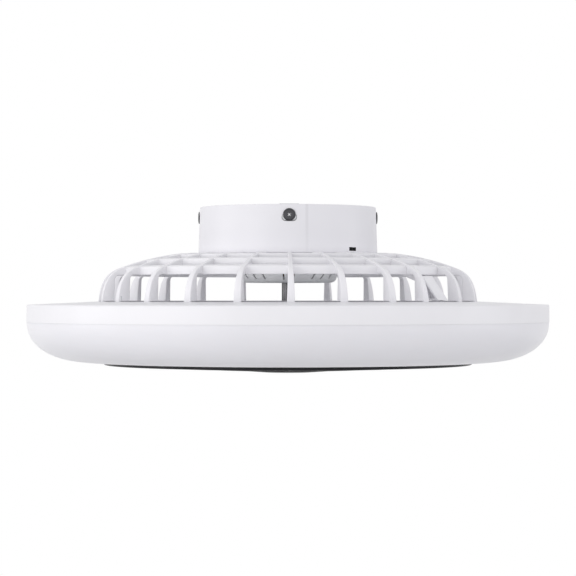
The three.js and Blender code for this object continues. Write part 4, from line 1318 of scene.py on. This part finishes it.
@dataclass
class LightRing:
    """Housing of the ring light, its diffuser, lamp board and screws."""

    housing: tuple[Corner, ...] = (
        (174.0, -92.0, 0.5), (184.0, -92.0, 0.3), (184.0, -91.0, 0.3), (249.9, -93.9, 1.6),
        (250.0, -110.6, 0.1), (248.0, -110.6, 0.1), (248.0, -95.3, 0.8), (176.0, -94.6, 0.8),
        (176.0, -148.0, 0.3), (174.0, -148.0, 0.6), (174.0, -141.0, 0.3), (170.0, -141.0, 0.4),
        (170.0, -139.0, 0.4), (174.0, -139.0, 0.3),
    )
    notch_low: Place = (-9.0, -173.6, -143.0)
    notch_high: Place = (9.0, -168.0, -137.0)
    hooks: int = 6
    screws: int = 6
    bowl_lip: tuple[Point, ...] = ((247.7, -105.2), (247.7, -110.6))
    bowl: tuple[Point, ...] = ((249.75, -110.6), (249.9, -134.7), (223.4, -148.0), (193.5, -148.0))
    bowl_foot: tuple[Point, ...] = ((178.0, -148.0), (176.3, -147.6), (176.3, -146.0))
    bowl_inner: tuple[Point, ...] = ((193.5, -146.0), (222.2, -146.0), (247.8, -133.0), (247.4, -111.6))
    lip_inner: tuple[Point, ...] = ((245.7, -110.0), (245.7, -105.2))
    segments: int = 240

    def build(self, display: Display) -> None:
        """Shows the housing and the diffuser, and dresses what they hide.

        Args:
            display: Where they are shown.
        """
        mesh = Shape().lathe(rounded(self.housing, 5), self.segments).mesh("ring_housing")
        notches = Shape().box(self.notch_low, self.notch_high).around(self.hooks, 180 / self.hooks)
        display.show("ring_housing", cut(mesh, notches), Slot.WHITE, ["light_housing"])
        outer = [*self.bowl_lip, *bezier(self.bowl, 48), *self.bowl_foot]
        inner = [*bezier(self.bowl_inner, 24), *self.lip_inner]
        bowl = Shape().lathe(outer + inner, self.segments).mesh("diffuser_bowl", sharp=30)
        display.show("diffuser_bowl", bowl, Slot.FROSTED, ["diffuser"])
        display.dress(Slot.BOARD, "lamp_board")
        display.dress(Slot.PALE, "lamp_connector")
        display.dress(Slot.BRIGHT, *[f"ring_screw_{i + 1}" for i in range(self.screws)])


@dataclass
class CableRun:
    """The duct that slants down the cage, and the lamp cable in it."""

    azimuth: float = 50.6
    width: float = 16.4
    edge: float = 1.2
    recess: float = 6.5
    cable_radius: float = 1.4
    bend: float = 6.0
    tight_bend: float = 2.2
    bend_steps: int = 6
    least_step: float = 0.2
    outline: tuple[Point, ...] = (
        (104.0, -52.1), (138.2, -60.2), (158.0, -67.5), (163.6, -67.5), (181.0, -89.7), (168.6, -89.7),
        (160.6, -76.0), (155.8, -72.6), (136.6, -65.4), (102.8, -57.4),
    )
    pocket: tuple[Point, ...] = ((164.6, -71.5), (177.7, -88.2), (169.6, -88.2), (162.0, -75.2))
    cable: tuple[Place, ...] = (
        (63.87, -29.3, -33.9), (63.87, -46.27, -33.9), (57.75, -46.27, -33.9), (57.75, -46.27, -55.31),
        (80.57, -64.55, -55.31), (107.13, -85.83, -63.39), (122.64, -98.25, -70.71),
        (125.96, -100.91, -69.94), (138.92, -111.29, -90.5), (138.92, -111.29, -98.6),
        (148.58, -119.03, -98.6),
    )

    def build(self, display: Display) -> None:
        """Shows the duct and the cable.

        Args:
            display: Where they are shown.
        """
        half, edge = self.width / 2, self.edge
        left = [(inwards * edge - half, shrink) for inwards, shrink in ((0.0, 1.0), (0.3, 0.3), (1.0, 0.0))]
        right = [(-across, shrink) for across, shrink in left[::-1]]
        loops = [[(across, -r, z) for r, z in self.shrunk(self.outline, shrink * edge)]
                 for across, shrink in left + right]
        duct = Shape().loft(loops).turned(self.azimuth)
        pocket = Shape().slab(self.pocket, -half - 1.0, self.recess - half)
        mesh = cut(duct.mesh("duct_channel"), pocket.turned(self.azimuth))
        display.show("duct_channel", mesh, Slot.WHITE, ["cable_duct"])
        cable = Shape().tube(self.smooth_path(), self.cable_radius)
        display.show("lamp_lead", cable.mesh("lamp_lead"), Slot.CABLE, ["lamp_cable"])

    @staticmethod
    def shrunk(outline: Sequence[Point], inset: float) -> list[Point]:
        """Moves a closed outline's sides inwards.

        Args:
            outline: The outline.
            inset: How far its sides move.

        Returns:
            The smaller outline.
        """
        points = [np.array(point) for point in outline]
        area = sum(a[0] * b[1] - a[1] * b[0] for a, b in zip(points, points[1:] + points[:1]))
        sign = 1.0 if area > 0 else -1.0
        moved = []
        for i, here in enumerate(points):
            before = here - points[i - 1]
            after = points[(i + 1) % len(points)] - here
            normals = [sign * np.array((-way[1], way[0])) / np.linalg.norm(way) for way in (before, after)]
            total = normals[0] + normals[1]
            moved.append(tuple(here + inset * 2 * total / (total @ total)))
        return moved

    def smooth_path(self) -> list[Place]:
        """Rounds the corners of the cable's middle line.

        Returns:
            Points along it.
        """
        points = [np.array(point) for point in self.cable]
        path = [points[0]]
        for i in range(1, len(points) - 1):
            bend = self.tight_bend if i == len(points) - 3 else self.bend
            back, ahead = points[i - 1] - points[i], points[i + 1] - points[i]
            reach = min(bend, np.linalg.norm(back) / 2, np.linalg.norm(ahead) / 2)
            start = points[i] + back / np.linalg.norm(back) * reach
            end = points[i] + ahead / np.linalg.norm(ahead) * reach
            for share in np.linspace(0.0, 1.0, self.bend_steps + 1):
                path.append((1 - share) ** 2 * start + 2 * share * (1 - share) * points[i] + share**2 * end)
        path.append(points[-1])
        kept = [path[0]]
        for point in path[1:]:
            if np.linalg.norm(point - kept[-1]) > self.least_step:
                kept.append(point)
        return [tuple(point) for point in kept]


@dataclass
class Motor:
    """The two bells, their screws, the stator between them and the shaft with what turns on it."""

    radius: float = 47.0
    wall: float = 2.5
    floor: float = -72.8
    flange: Point = (56.0, -48.7)
    corner: float = 6.0
    vent_width: float = 1.3
    vent_height: float = 8.8
    vent_middle: float = -66.0
    vent_azimuths: tuple[float, ...] = (5.9, 30.8, 44.1, 58.8)
    vent_leans: tuple[float, ...] = (5.0, 29.0, 37.0, 47.0)
    top: float = -23.0
    foot: float = -43.4
    screw_ring: float = 51.0
    screw_seat: float = 2.8
    bore: float = 6.3
    seat_inner: float = 14.3
    seat_outer: float = 16.7
    seat_depth: float = 8.3
    flange_depth: float = 2.5
    lug: Point = (4.6, 9.0)
    shaft_radius: float = 6.0
    shaft_ends: Point = (-139.0, -24.2)
    shaft_bevel: float = 0.8
    pin: tuple[Point, ...] = ((0.0, -10.0), (1.3, -10.0), (1.6, -9.6), (1.6, 9.6), (1.3, 10.0), (0.0, 10.0))
    pin_height: float = -95.1
    coil_radius: float = 34.5
    coil_middle: float = 3.2
    coil_widths: Point = (10.5, 12.6)
    coil_heights: Point = (5.0, 6.3)
    coil_edge: float = 2.2
    coil_lows: Point = (-38.2, -67.2)
    bundles: int = 24
    screw: Screw = field(default_factory=lambda: Screw(3.8, 2.2, 2.0, 14.6, 3.6, 0.8, 1.1))

    def lower_bell(self) -> bpy.types.Mesh:
        """Makes the lower bell with its slanting vents.

        Returns:
            The mesh.
        """
        inner, floor, (reach, z) = self.radius - self.wall, self.floor + self.wall, self.flange
        foot, seat = z - self.flange_depth, floor + self.seat_depth
        shell = Shape().lathe(rounded([
            (self.bore, self.floor, 0.3), (self.radius, self.floor, self.corner), (self.radius, foot, 0.8),
            (reach, foot, 0.8), (reach, z, 0.4), (inner, z, 0.4), (inner, floor, self.corner - 2.0),
            (self.seat_outer, floor, 0.6), (self.seat_outer, seat, 0.4), (self.seat_inner, seat, 0.4),
            (self.seat_inner, floor, 0.0), (self.bore, floor, 0.3),
        ], 6), 128)
        half, tall = self.vent_width / 2, self.vent_height / 2
        vent = Shape().box((-half, -self.radius - 2.0, -tall), (half, 4.0 - self.radius, tall))
        cutter = Shape()
        for azimuth, lean in zip(self.vent_azimuths, self.vent_leans):
            for side in (1, -1):
                tilt = Matrix.Rotation(math.radians(side * lean), 4, "Y")
                leaning = vent.moved(Matrix.Translation((0, 0, self.vent_middle)) @ tilt)
                cutter.join(leaning.turned(side * azimuth), leaning.turned(180 + side * azimuth))
        return cut(shell.mesh("lower_bell"), cutter, sharp=30)

    def upper_bell(self) -> bpy.types.Mesh:
        """Makes the upper bell with its four lugs.

        Returns:
            The mesh.
        """
        inner, roof = self.radius - self.wall, self.top - self.wall
        seat = roof - self.seat_depth
        bell = Shape().lathe(rounded([
            (self.bore, self.top, 0.3), (self.bore, roof, 0.2), (self.seat_inner, roof, 0.0),
            (self.seat_inner, seat, 0.4), (self.seat_outer, seat, 0.4), (self.seat_outer, roof, 0.6),
            (inner, roof, 4.0), (inner, self.foot, 0.3), (self.radius, self.foot, 0.3),
            (self.radius, self.top, self.corner),
        ], 6), 128)
        radius, tall = self.lug
        for i in range(4):
            lug = disc(radius, *on_circle(self.screw_ring, 90 * i + 45))
            bell.prism(lug, self.foot, self.foot + tall)
        return bevelled(bell.mesh("upper_bell"), 0.4)

    def build(self, display: Display) -> None:
        """Shows the motor, its shaft and its pin.

        Args:
            display: Where they are shown.
        """
        display.show("lower_bell", self.lower_bell(), Slot.ALLOY, ["motor_lower_bell"])
        display.show("upper_bell", self.upper_bell(), Slot.ALLOY, ["motor_upper_bell"])
        for i in range(4):
            x, y = on_circle(self.screw_ring, 90 * i + 45)
            place = axis_place(x, y, self.flange[1] - self.screw_seat, (0.0, 0.0, -1.0))
            name = f"bell_screw_{i + 1}"
            display.show(name, self.screw.mesh(name, place), Slot.BRIGHT, [f"motor_screw_{i + 1}"])
        display.dress(Slot.CORE, "stator_core", "rotor_core")
        display.dress(Slot.BRIGHT, "lower_bearing", "upper_bearing")
        for side, low in zip(("upper", "lower"), self.coil_lows):
            name = f"coils_{side}"
            display.show(name, self.coils(name, low), Slot.COPPER, [f"winding_{side}"])
        (low, high), thin, full = self.shaft_ends, self.shaft_radius - self.shaft_bevel, self.shaft_radius
        rod = Shape().lathe([
            (0.0, low), (thin, low), (full, low + self.shaft_bevel), (full, high - self.shaft_bevel),
            (thin, high), (0.0, high),
        ], 64, closed=False).mesh("motor_rod")
        display.show("motor_rod", rod, Slot.DARK_STEEL, ["motor_shaft"], Body.ROTOR, SHAFT.material())
        lying = axis_place(0.0, 0.0, self.pin_height, (0.0, 1.0, 0.0))
        pin = Shape().lathe(self.pin, 24, closed=False).moved(lying).mesh("cross_pin")
        display.show("cross_pin", pin, Slot.BRIGHT, ["drive_pin"], Body.ROTOR)

    def coils(self, name: str, low: float) -> bpy.types.Mesh:
        """Makes one end of the winding: a ring of bundles that bulge between the slots.

        Args:
            name: The mesh's name.
            low: The ring's lowest height.

        Returns:
            The mesh.
        """
        sections = []
        for k in range(FINE):
            azimuth = 360 * k / FINE
            bulge = abs(math.sin(math.radians(azimuth * self.bundles / 2)))
            wide, tall = between(*self.coil_widths, bulge), between(*self.coil_heights, bulge)
            section = [(self.coil_radius + r, z) for r, z in bar_section(wide, tall, self.coil_edge, 4)]
            x, y = on_circle(1.0, azimuth)
            sections.append([(x * r, y * r, low + self.coil_middle + z) for r, z in section])
        return Shape().loft(sections, ring=True).mesh(name, sharp=50)


@dataclass
class FanWheel:
    """Hub with twisted blades, and the spinner nut below it."""

    tip: float = 162.9
    root: float = 30.0
    top: float = -97.0
    bottom: float = -131.0
    blades: int = 5
    angles: Point = (31.0, 17.0)
    sweeps: Point = (48.0, 40.0)
    lead: float = 14.0
    thickness: float = 2.2
    tip_rounding: float = 0.5
    edge_thinning: float = 0.55
    tip_thinning: float = 0.75
    steps_out: int = 22
    steps_along: int = 20
    bore: float = 6.3
    boss: float = 11.0
    web: float = 2.4
    drum: Point = (28.6, 31.0)
    ribs: int = 6
    rib_low: Place = (-0.8, -28.8, -125.0)
    rib_high: Place = (0.8, -10.8, -99.2)
    pin_slot: Point = (1.9, 10.3)
    nut: tuple[Corner | Point, ...] = (
        (0.0, -142.3), (6.5, -142.3, 2.0), (13.0, -136.8, 2.0), (13.0, -131.3, 0.6), (0.0, -131.3),
    )
    grooves: int = 12
    groove: Point = (13.9, 1.6)
    groove_heights: Point = (-144.0, -130.0)

    def blade(self, azimuth: float) -> Shape:
        """Returns one blade as a skin over sections that follow each other outwards.

        Args:
            azimuth: Where the blade's root has its middle.

        Returns:
            The blade.
        """
        middle = (self.top + self.bottom) / 2
        limit = (self.top - self.bottom) / 2 - self.thickness
        sections = []
        for i in range(self.steps_out + 1):
            out = i / self.steps_out
            radius = between(self.root, self.tip, out)
            angle = math.radians(between(*self.angles, math.sqrt(out)))
            sweep = between(*self.sweeps, out)
            upper, lower = [], []
            for j in range(self.steps_along + 1):
                along = j / self.steps_along - 0.5
                rounding = 1 - self.tip_rounding * (2 * along) ** 4 * out**6
                reach = radius * (1.0 if i == self.steps_out else rounding)
                x, y = on_circle(reach, azimuth + self.lead * out + along * sweep * rounding)
                rise = math.radians(sweep) * radius * along * math.tan(angle)
                z = middle + min(max(rise, -limit), limit)
                thinning = 1 - self.edge_thinning * (2 * abs(along)) ** 6
                half = 0.5 * self.thickness * thinning * between(1.0, self.tip_thinning, out)
                upper.append((x, y, z + half))
                lower.append((x, y, z - half))
            sections.append(upper + lower[::-1])
        return Shape().loft(sections)

    def build(self, display: Display) -> None:
        """Shows the wheel and its nut.

        Args:
            display: Where they are shown.
        """
        under, (near, far) = self.top - self.web, self.drum
        hub = Shape().lathe(rounded([
            (self.bore, self.bottom, 0.3), (self.boss, self.bottom, 0.4), (self.boss, under, 0.4),
            (near, under, 1.5), (near, self.bottom, 0.4), (far, self.bottom, 0.4), (far, self.top, 4.0),
            (self.bore, self.top, 0.4),
        ], 5), 96)
        hub.join(Shape().box(self.rib_low, self.rib_high).around(self.ribs, 180 / self.ribs))
        half, long = self.pin_slot
        slot = Shape().box((-half, -long, self.top - 0.3), (half, long, self.top + 2.0))
        wheel = cut(hub.mesh("wheel_hub"), slot)
        display.show("wheel_hub", wheel, Slot.PALE, ["fan_wheel"], Body.ROTOR)
        for i in range(self.blades):
            name = f"wheel_blade_{i + 1}"
            blade = bevelled(self.blade(360 * i / self.blades).mesh(name, 60), 0.3, 1)
            display.show(name, blade, Slot.PALE, [], Body.ROTOR)
        nut = Shape().lathe(rounded(self.nut), 72, closed=False)
        grooves = Shape()
        ring, radius = self.groove
        for i in range(self.grooves):
            groove = disc(radius, *on_circle(ring, 360 * i / self.grooves), sides=16)
            grooves.prism(groove, *self.groove_heights)
        display.show("grip_nut", cut(nut.mesh("grip_nut"), grooves), Slot.DARK, ["spinner_nut"], Body.ROTOR)


@dataclass
class Guard:
    """Shallow cone of bars under the wheel, with its boss and screw."""

    radius: float = 176.6
    rim_width: float = 8.0
    rim: float = -151.3
    top: float = -148.3
    fall: float = 7.9
    hoops: tuple[float, ...] = (133.0, 84.1)
    bar: float = 2.4
    hub: float = 30.0
    hub_flat: float = 23.5
    hub_edge: float = 47.0
    hub_foot: float = -158.9
    spokes: int = 20
    hooks: int = 6
    recess: float = -157.5
    screw_gap: float = 0.3
    screw_turn: float = 30.0
    screw_hole: float = 2.3
    recess_radius: float = 5.0
    hub_depth: float = 3.4
    hub_lip: float = 1.2
    spoke_depth: float = 2.6
    spoke_middle: float = 1.6
    hook_half: float = 7.0
    hook: tuple[Point, ...] = (
        (167.0, -149.9), (169.2, -149.9), (169.2, -138.7), (172.6, -138.7), (172.6, -136.5), (167.0, -136.5),
    )
    boss: tuple[Corner | Point, ...] = (
        (0.0, -155.6), (9.0, -155.6, 0.4), (9.0, -154.3, 0.5), (4.5, -148.6, 1.5), (0.0, -148.6),
    )
    screw: Screw = field(default_factory=lambda: Screw(3.6, 1.5, 2.0, 7.0, 3.6, 0.8, 0.9))

    def cone(self, radius: float) -> float:
        """Returns the cone's height at a radius."""
        return self.rim - self.fall * (1 - radius / self.radius)

    def build(self, display: Display) -> None:
        """Shows the guard, its boss and its screw.

        Args:
            display: Where they are shown.
        """
        inner = self.radius - self.rim_width
        guard = Shape().lathe(rounded([
            (inner, self.cone(inner), 0.6), (self.radius, self.rim, 1.0), (self.radius, self.top, 0.6),
            (inner, self.top, 0.6),
        ]), FINE)
        for outer in self.hoops:
            near = outer - self.bar
            guard.lathe(rounded([
                (near, self.cone(near), 0.7), (outer, self.cone(outer), 0.7),
                (outer, self.cone(outer) + self.bar, 0.7), (near, self.cone(near) + self.bar, 0.7),
            ], 3), 144)
        low, high, edge = self.hub_foot, self.hub_foot + self.hub_depth, self.cone(self.hub_edge)
        guard.lathe(rounded([
            (self.screw_hole, self.recess, 0.2), (self.recess_radius, self.recess, 0.2),
            (self.recess_radius, low, 0.5), (self.hub_flat, low, 4.0), (self.hub_edge, edge, 0.3),
            (self.hub_edge, edge + self.hub_lip, 0.4), (self.hub, high, 1.5), (self.screw_hole, high, 0.2),
        ]), 96)
        section = bar_section(self.bar, self.spoke_depth, 0.8)
        spoke = Shape().loft([
            [(x, -radius, self.cone(radius) + self.spoke_middle + z) for x, z in section]
            for radius in (self.hub - self.bar, inner + self.bar)
        ])
        outline = rounded([(*point, 0.4) for point in self.hook], 2)
        hook = Shape().slab(outline, -self.hook_half, self.hook_half)
        guard.join(spoke.around(self.spokes), hook.around(self.hooks))
        display.show("guard_grille", guard.mesh("guard_grille"), Slot.DARK, ["bottom_guard"])
        boss = Shape().lathe(rounded(self.boss), 64, closed=False)
        display.show("boss_nut", boss.mesh("boss_nut"), Slot.DARK, ["guard_boss"])
        place = axis_place(0.0, 0.0, self.recess - self.screw_gap, (0.0, 0.0, -1.0), self.screw_turn)
        display.show("centre_screw", self.screw.mesh("centre_screw", place), Slot.BLACK, ["guard_screw"])


@dataclass
class Electrics:
    """Control case, its lid and circuit, and the terminal block on the canopy's floor."""

    low: float = -43.4
    case_low: Place = (53.0, -29.0, -43.4)
    case_high: Place = (74.7, 29.0, -24.4)
    case_wall: float = 1.6
    lid_gap: float = 0.3
    lid: float = 1.8
    slit: Point = (12.0, 1.6)
    slit_middle: float = 64.0
    slit_places: tuple[float, ...] = (-18.0, -12.0, -6.0, 0.0, 6.0, 12.0, 18.0)
    block_low: Point = (-71.0, -15.0)
    block_high: Point = (-57.0, 15.0)
    block_height: float = 13.0
    well: Point = (2.5, 6.5)
    well_middle: float = -64.0
    well_places: tuple[float, ...] = (-10.0, 0.0, 10.0)
    groove_places: tuple[float, ...] = (-5.0, 5.0)
    groove: Point = (0.6, 8.0)
    groove_ends: Point = (-73.0, -55.0)
    clear: float = 16.0

    def build(self, display: Display) -> None:
        """Shows the case, its lid and the terminal block.

        Args:
            display: Where they are shown.
        """
        (x0, y0, z0), (x1, y1, z1), wall = self.case_low, self.case_high, self.case_wall
        case = Shape().box(self.case_low, self.case_high).mesh("control_box")
        room = Shape().box((x0 + wall, y0 + wall, z0 + wall), (x1 - wall, y1 - wall, z1 + 2.0))
        display.show("control_box", bevelled(cut(case, room), 0.5), Slot.PALE, ["control_case"])
        low = z1 + self.lid_gap
        lid = Shape().box((x0, y0, low), (x1, y1, low + self.lid)).mesh("box_lid")
        slits = Shape()
        for y in self.slit_places:
            outline = [(self.slit_middle + px, y + py) for px, py in obround(*self.slit)]
            slits.prism(outline, low - 1.0, low + 3.0)
        display.show("box_lid", bevelled(cut(lid, slits), 0.4), Slot.PALE, ["control_lid"])
        display.dress(Slot.CIRCUIT, "control_circuit")
        above = self.low + self.clear
        block = Shape().box((*self.block_low, self.low), (*self.block_high, self.low + self.block_height))
        block = block.mesh("terminal_strip")
        wells = Shape()
        radius, foot = self.well
        for y in self.well_places:
            wells.prism(disc(radius, self.well_middle, y), self.low + foot, above)
        (half, foot), (left, right) = self.groove, self.groove_ends
        for y in self.groove_places:
            wells.box((left, y - half, self.low + foot), (right, y + half, above))
        display.show("terminal_strip", bevelled(cut(block, wells), 0.3), Slot.PALE, ["terminal_block"])


# Studio


@dataclass
class Lamp:
    """One soft rectangular light that looks at the fan from an azimuth; its sizes are in metres."""

    name: str
    azimuth: float
    power: float
    colour: Colour = (1.0, 1.0, 1.0)
    distance: float = 3.096
    height: float = 0.082
    size: Point = (1.7, 1.3)

    def build(self, target: Vector) -> None:
        """Puts the light into the scene.

        Args:
            target: The point that it looks at.
        """
        light = bpy.data.lights.new(self.name, "AREA")
        light.shape = "RECTANGLE"
        light.size, light.size_y = self.size
        light.energy = self.power
        light.color = self.colour
        lamp = bpy.data.objects.new(self.name, light)
        lamp.location = (*on_circle(self.distance, self.azimuth), self.height)
        lamp.rotation_euler = (target - lamp.location).to_track_quat("-Z", "Y").to_euler()
        bpy.context.scene.collection.objects.link(lamp)


@dataclass
class Studio:
    """Camera, lights, world and a pale floor far below; lengths are in metres."""

    distance: float = 2.004
    turn: float = -0.85
    height: float = -0.088
    lens: float = 130.0
    shift: Point = (0.0001, 0.0182)
    floor: float = -2.6
    floor_half: float = 6.0
    view_depth: float = 50.0
    target: Place = (0.0, 0.0, -0.08)
    ambient: Colour = (0.99, 0.99, 1.0)
    front: float = 0.52
    back: float = 0.37
    above: float = 0.43
    lamps: tuple[Lamp, ...] = (
        Lamp("far_left", -85.0, 22.0, (1.0, 0.998, 0.99)),
        Lamp("left", -45.0, 21.8, (1.0, 0.998, 0.99)),
        Lamp("front", 0.0, 13.0),
        Lamp("right", 45.0, 5.5, (0.98, 0.985, 1.0)),
        Lamp("far_right", 85.0, 16.5, (0.98, 0.985, 1.0)),
    )

    def build(self) -> None:
        """Builds the camera, the lights, the world and the floor."""
        bpy.context.scene.view_settings.view_transform = "Standard"
        self.add_camera()
        for lamp in self.lamps:
            lamp.build(Vector(self.target))
        self.add_world()
        self.add_floor()

    def add_camera(self) -> None:
        """Adds the camera at the photograph's place."""
        scene = bpy.context.scene
        camera = bpy.data.objects.new("camera", bpy.data.cameras.new("camera"))
        camera.location = (*on_circle(self.distance, self.turn), self.height)
        camera.rotation_euler = (math.pi / 2, 0.0, math.radians(self.turn))
        camera.data.lens = self.lens
        camera.data.shift_x, camera.data.shift_y = self.shift
        camera.data.clip_end = self.view_depth
        scene.collection.objects.link(camera)
        scene.camera = camera

    def add_world(self) -> None:
        """Adds the soft light all round, which looks white to the camera and in reflections."""
        world = bpy.data.worlds.new("studio")
        bpy.context.scene.world = world
        graph = Graph(world)
        seen = graph.node("ShaderNodeLightPath", output="Is Camera Ray")
        paths = seen.socket.node.outputs
        for name in ("Is Glossy Ray", "Is Transmission Ray"):
            seen = seen.math("MAXIMUM", seen, Wire(graph, paths[name]))
        way = graph.node("ShaderNodeTexCoord", output="Generated")
        y = graph.node("ShaderNodeSeparateXYZ", values={"Vector": way}, output="Y")
        z = Wire(graph, y.socket.node.outputs["Z"])
        level = self.front * (0.5 - 0.5 * y) + self.back * (0.5 + 0.5 * y)
        level = level + self.above * z.math("MAXIMUM", z, 0.0)
        soft = graph.node("ShaderNodeBackground", values={"Color": (*self.ambient, 1.0), "Strength": level})
        white = graph.node("ShaderNodeBackground", values={"Color": (1.0, 1.0, 1.0, 1.0), "Strength": 1.0})
        mixed = graph.node("ShaderNodeMixShader", values={0: seen, 1: soft, 2: white})
        graph.finish("ShaderNodeOutputWorld", mixed)

    def add_floor(self) -> None:
        """Adds the floor far below the fan."""
        far = self.floor_half / MM
        plane = Shape().add([(-far, -far, 0), (far, -far, 0), (far, far, 0), (-far, far, 0)], [(0, 1, 2, 3)])
        floor = bpy.data.objects.new("floor", plane.mesh("floor"))
        floor.location = (0.0, 0.0, self.floor)
        floor.data.materials.append(MouldedPlastic("studio_floor", (0.8, 0.8, 0.8), 0.8, edge=0.0).material())
        bpy.context.scene.collection.objects.link(floor)


def main() -> None:
    """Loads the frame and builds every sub-assembly."""
    logging.basicConfig(level=logging.INFO, format="%(message)s")
    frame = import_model()
    display = Display(frame)
    parts = (Canopy(), Cage(), LightRing(), CableRun(), Motor(), FanWheel(), Guard(), Electrics())
    for part in parts:
        LOG.info("building %s", type(part).__name__)
        part.build(display)
    LOG.info("bare nodes: %s", display.bare())
    Studio().build()


if __name__ == "__main__":
    main()
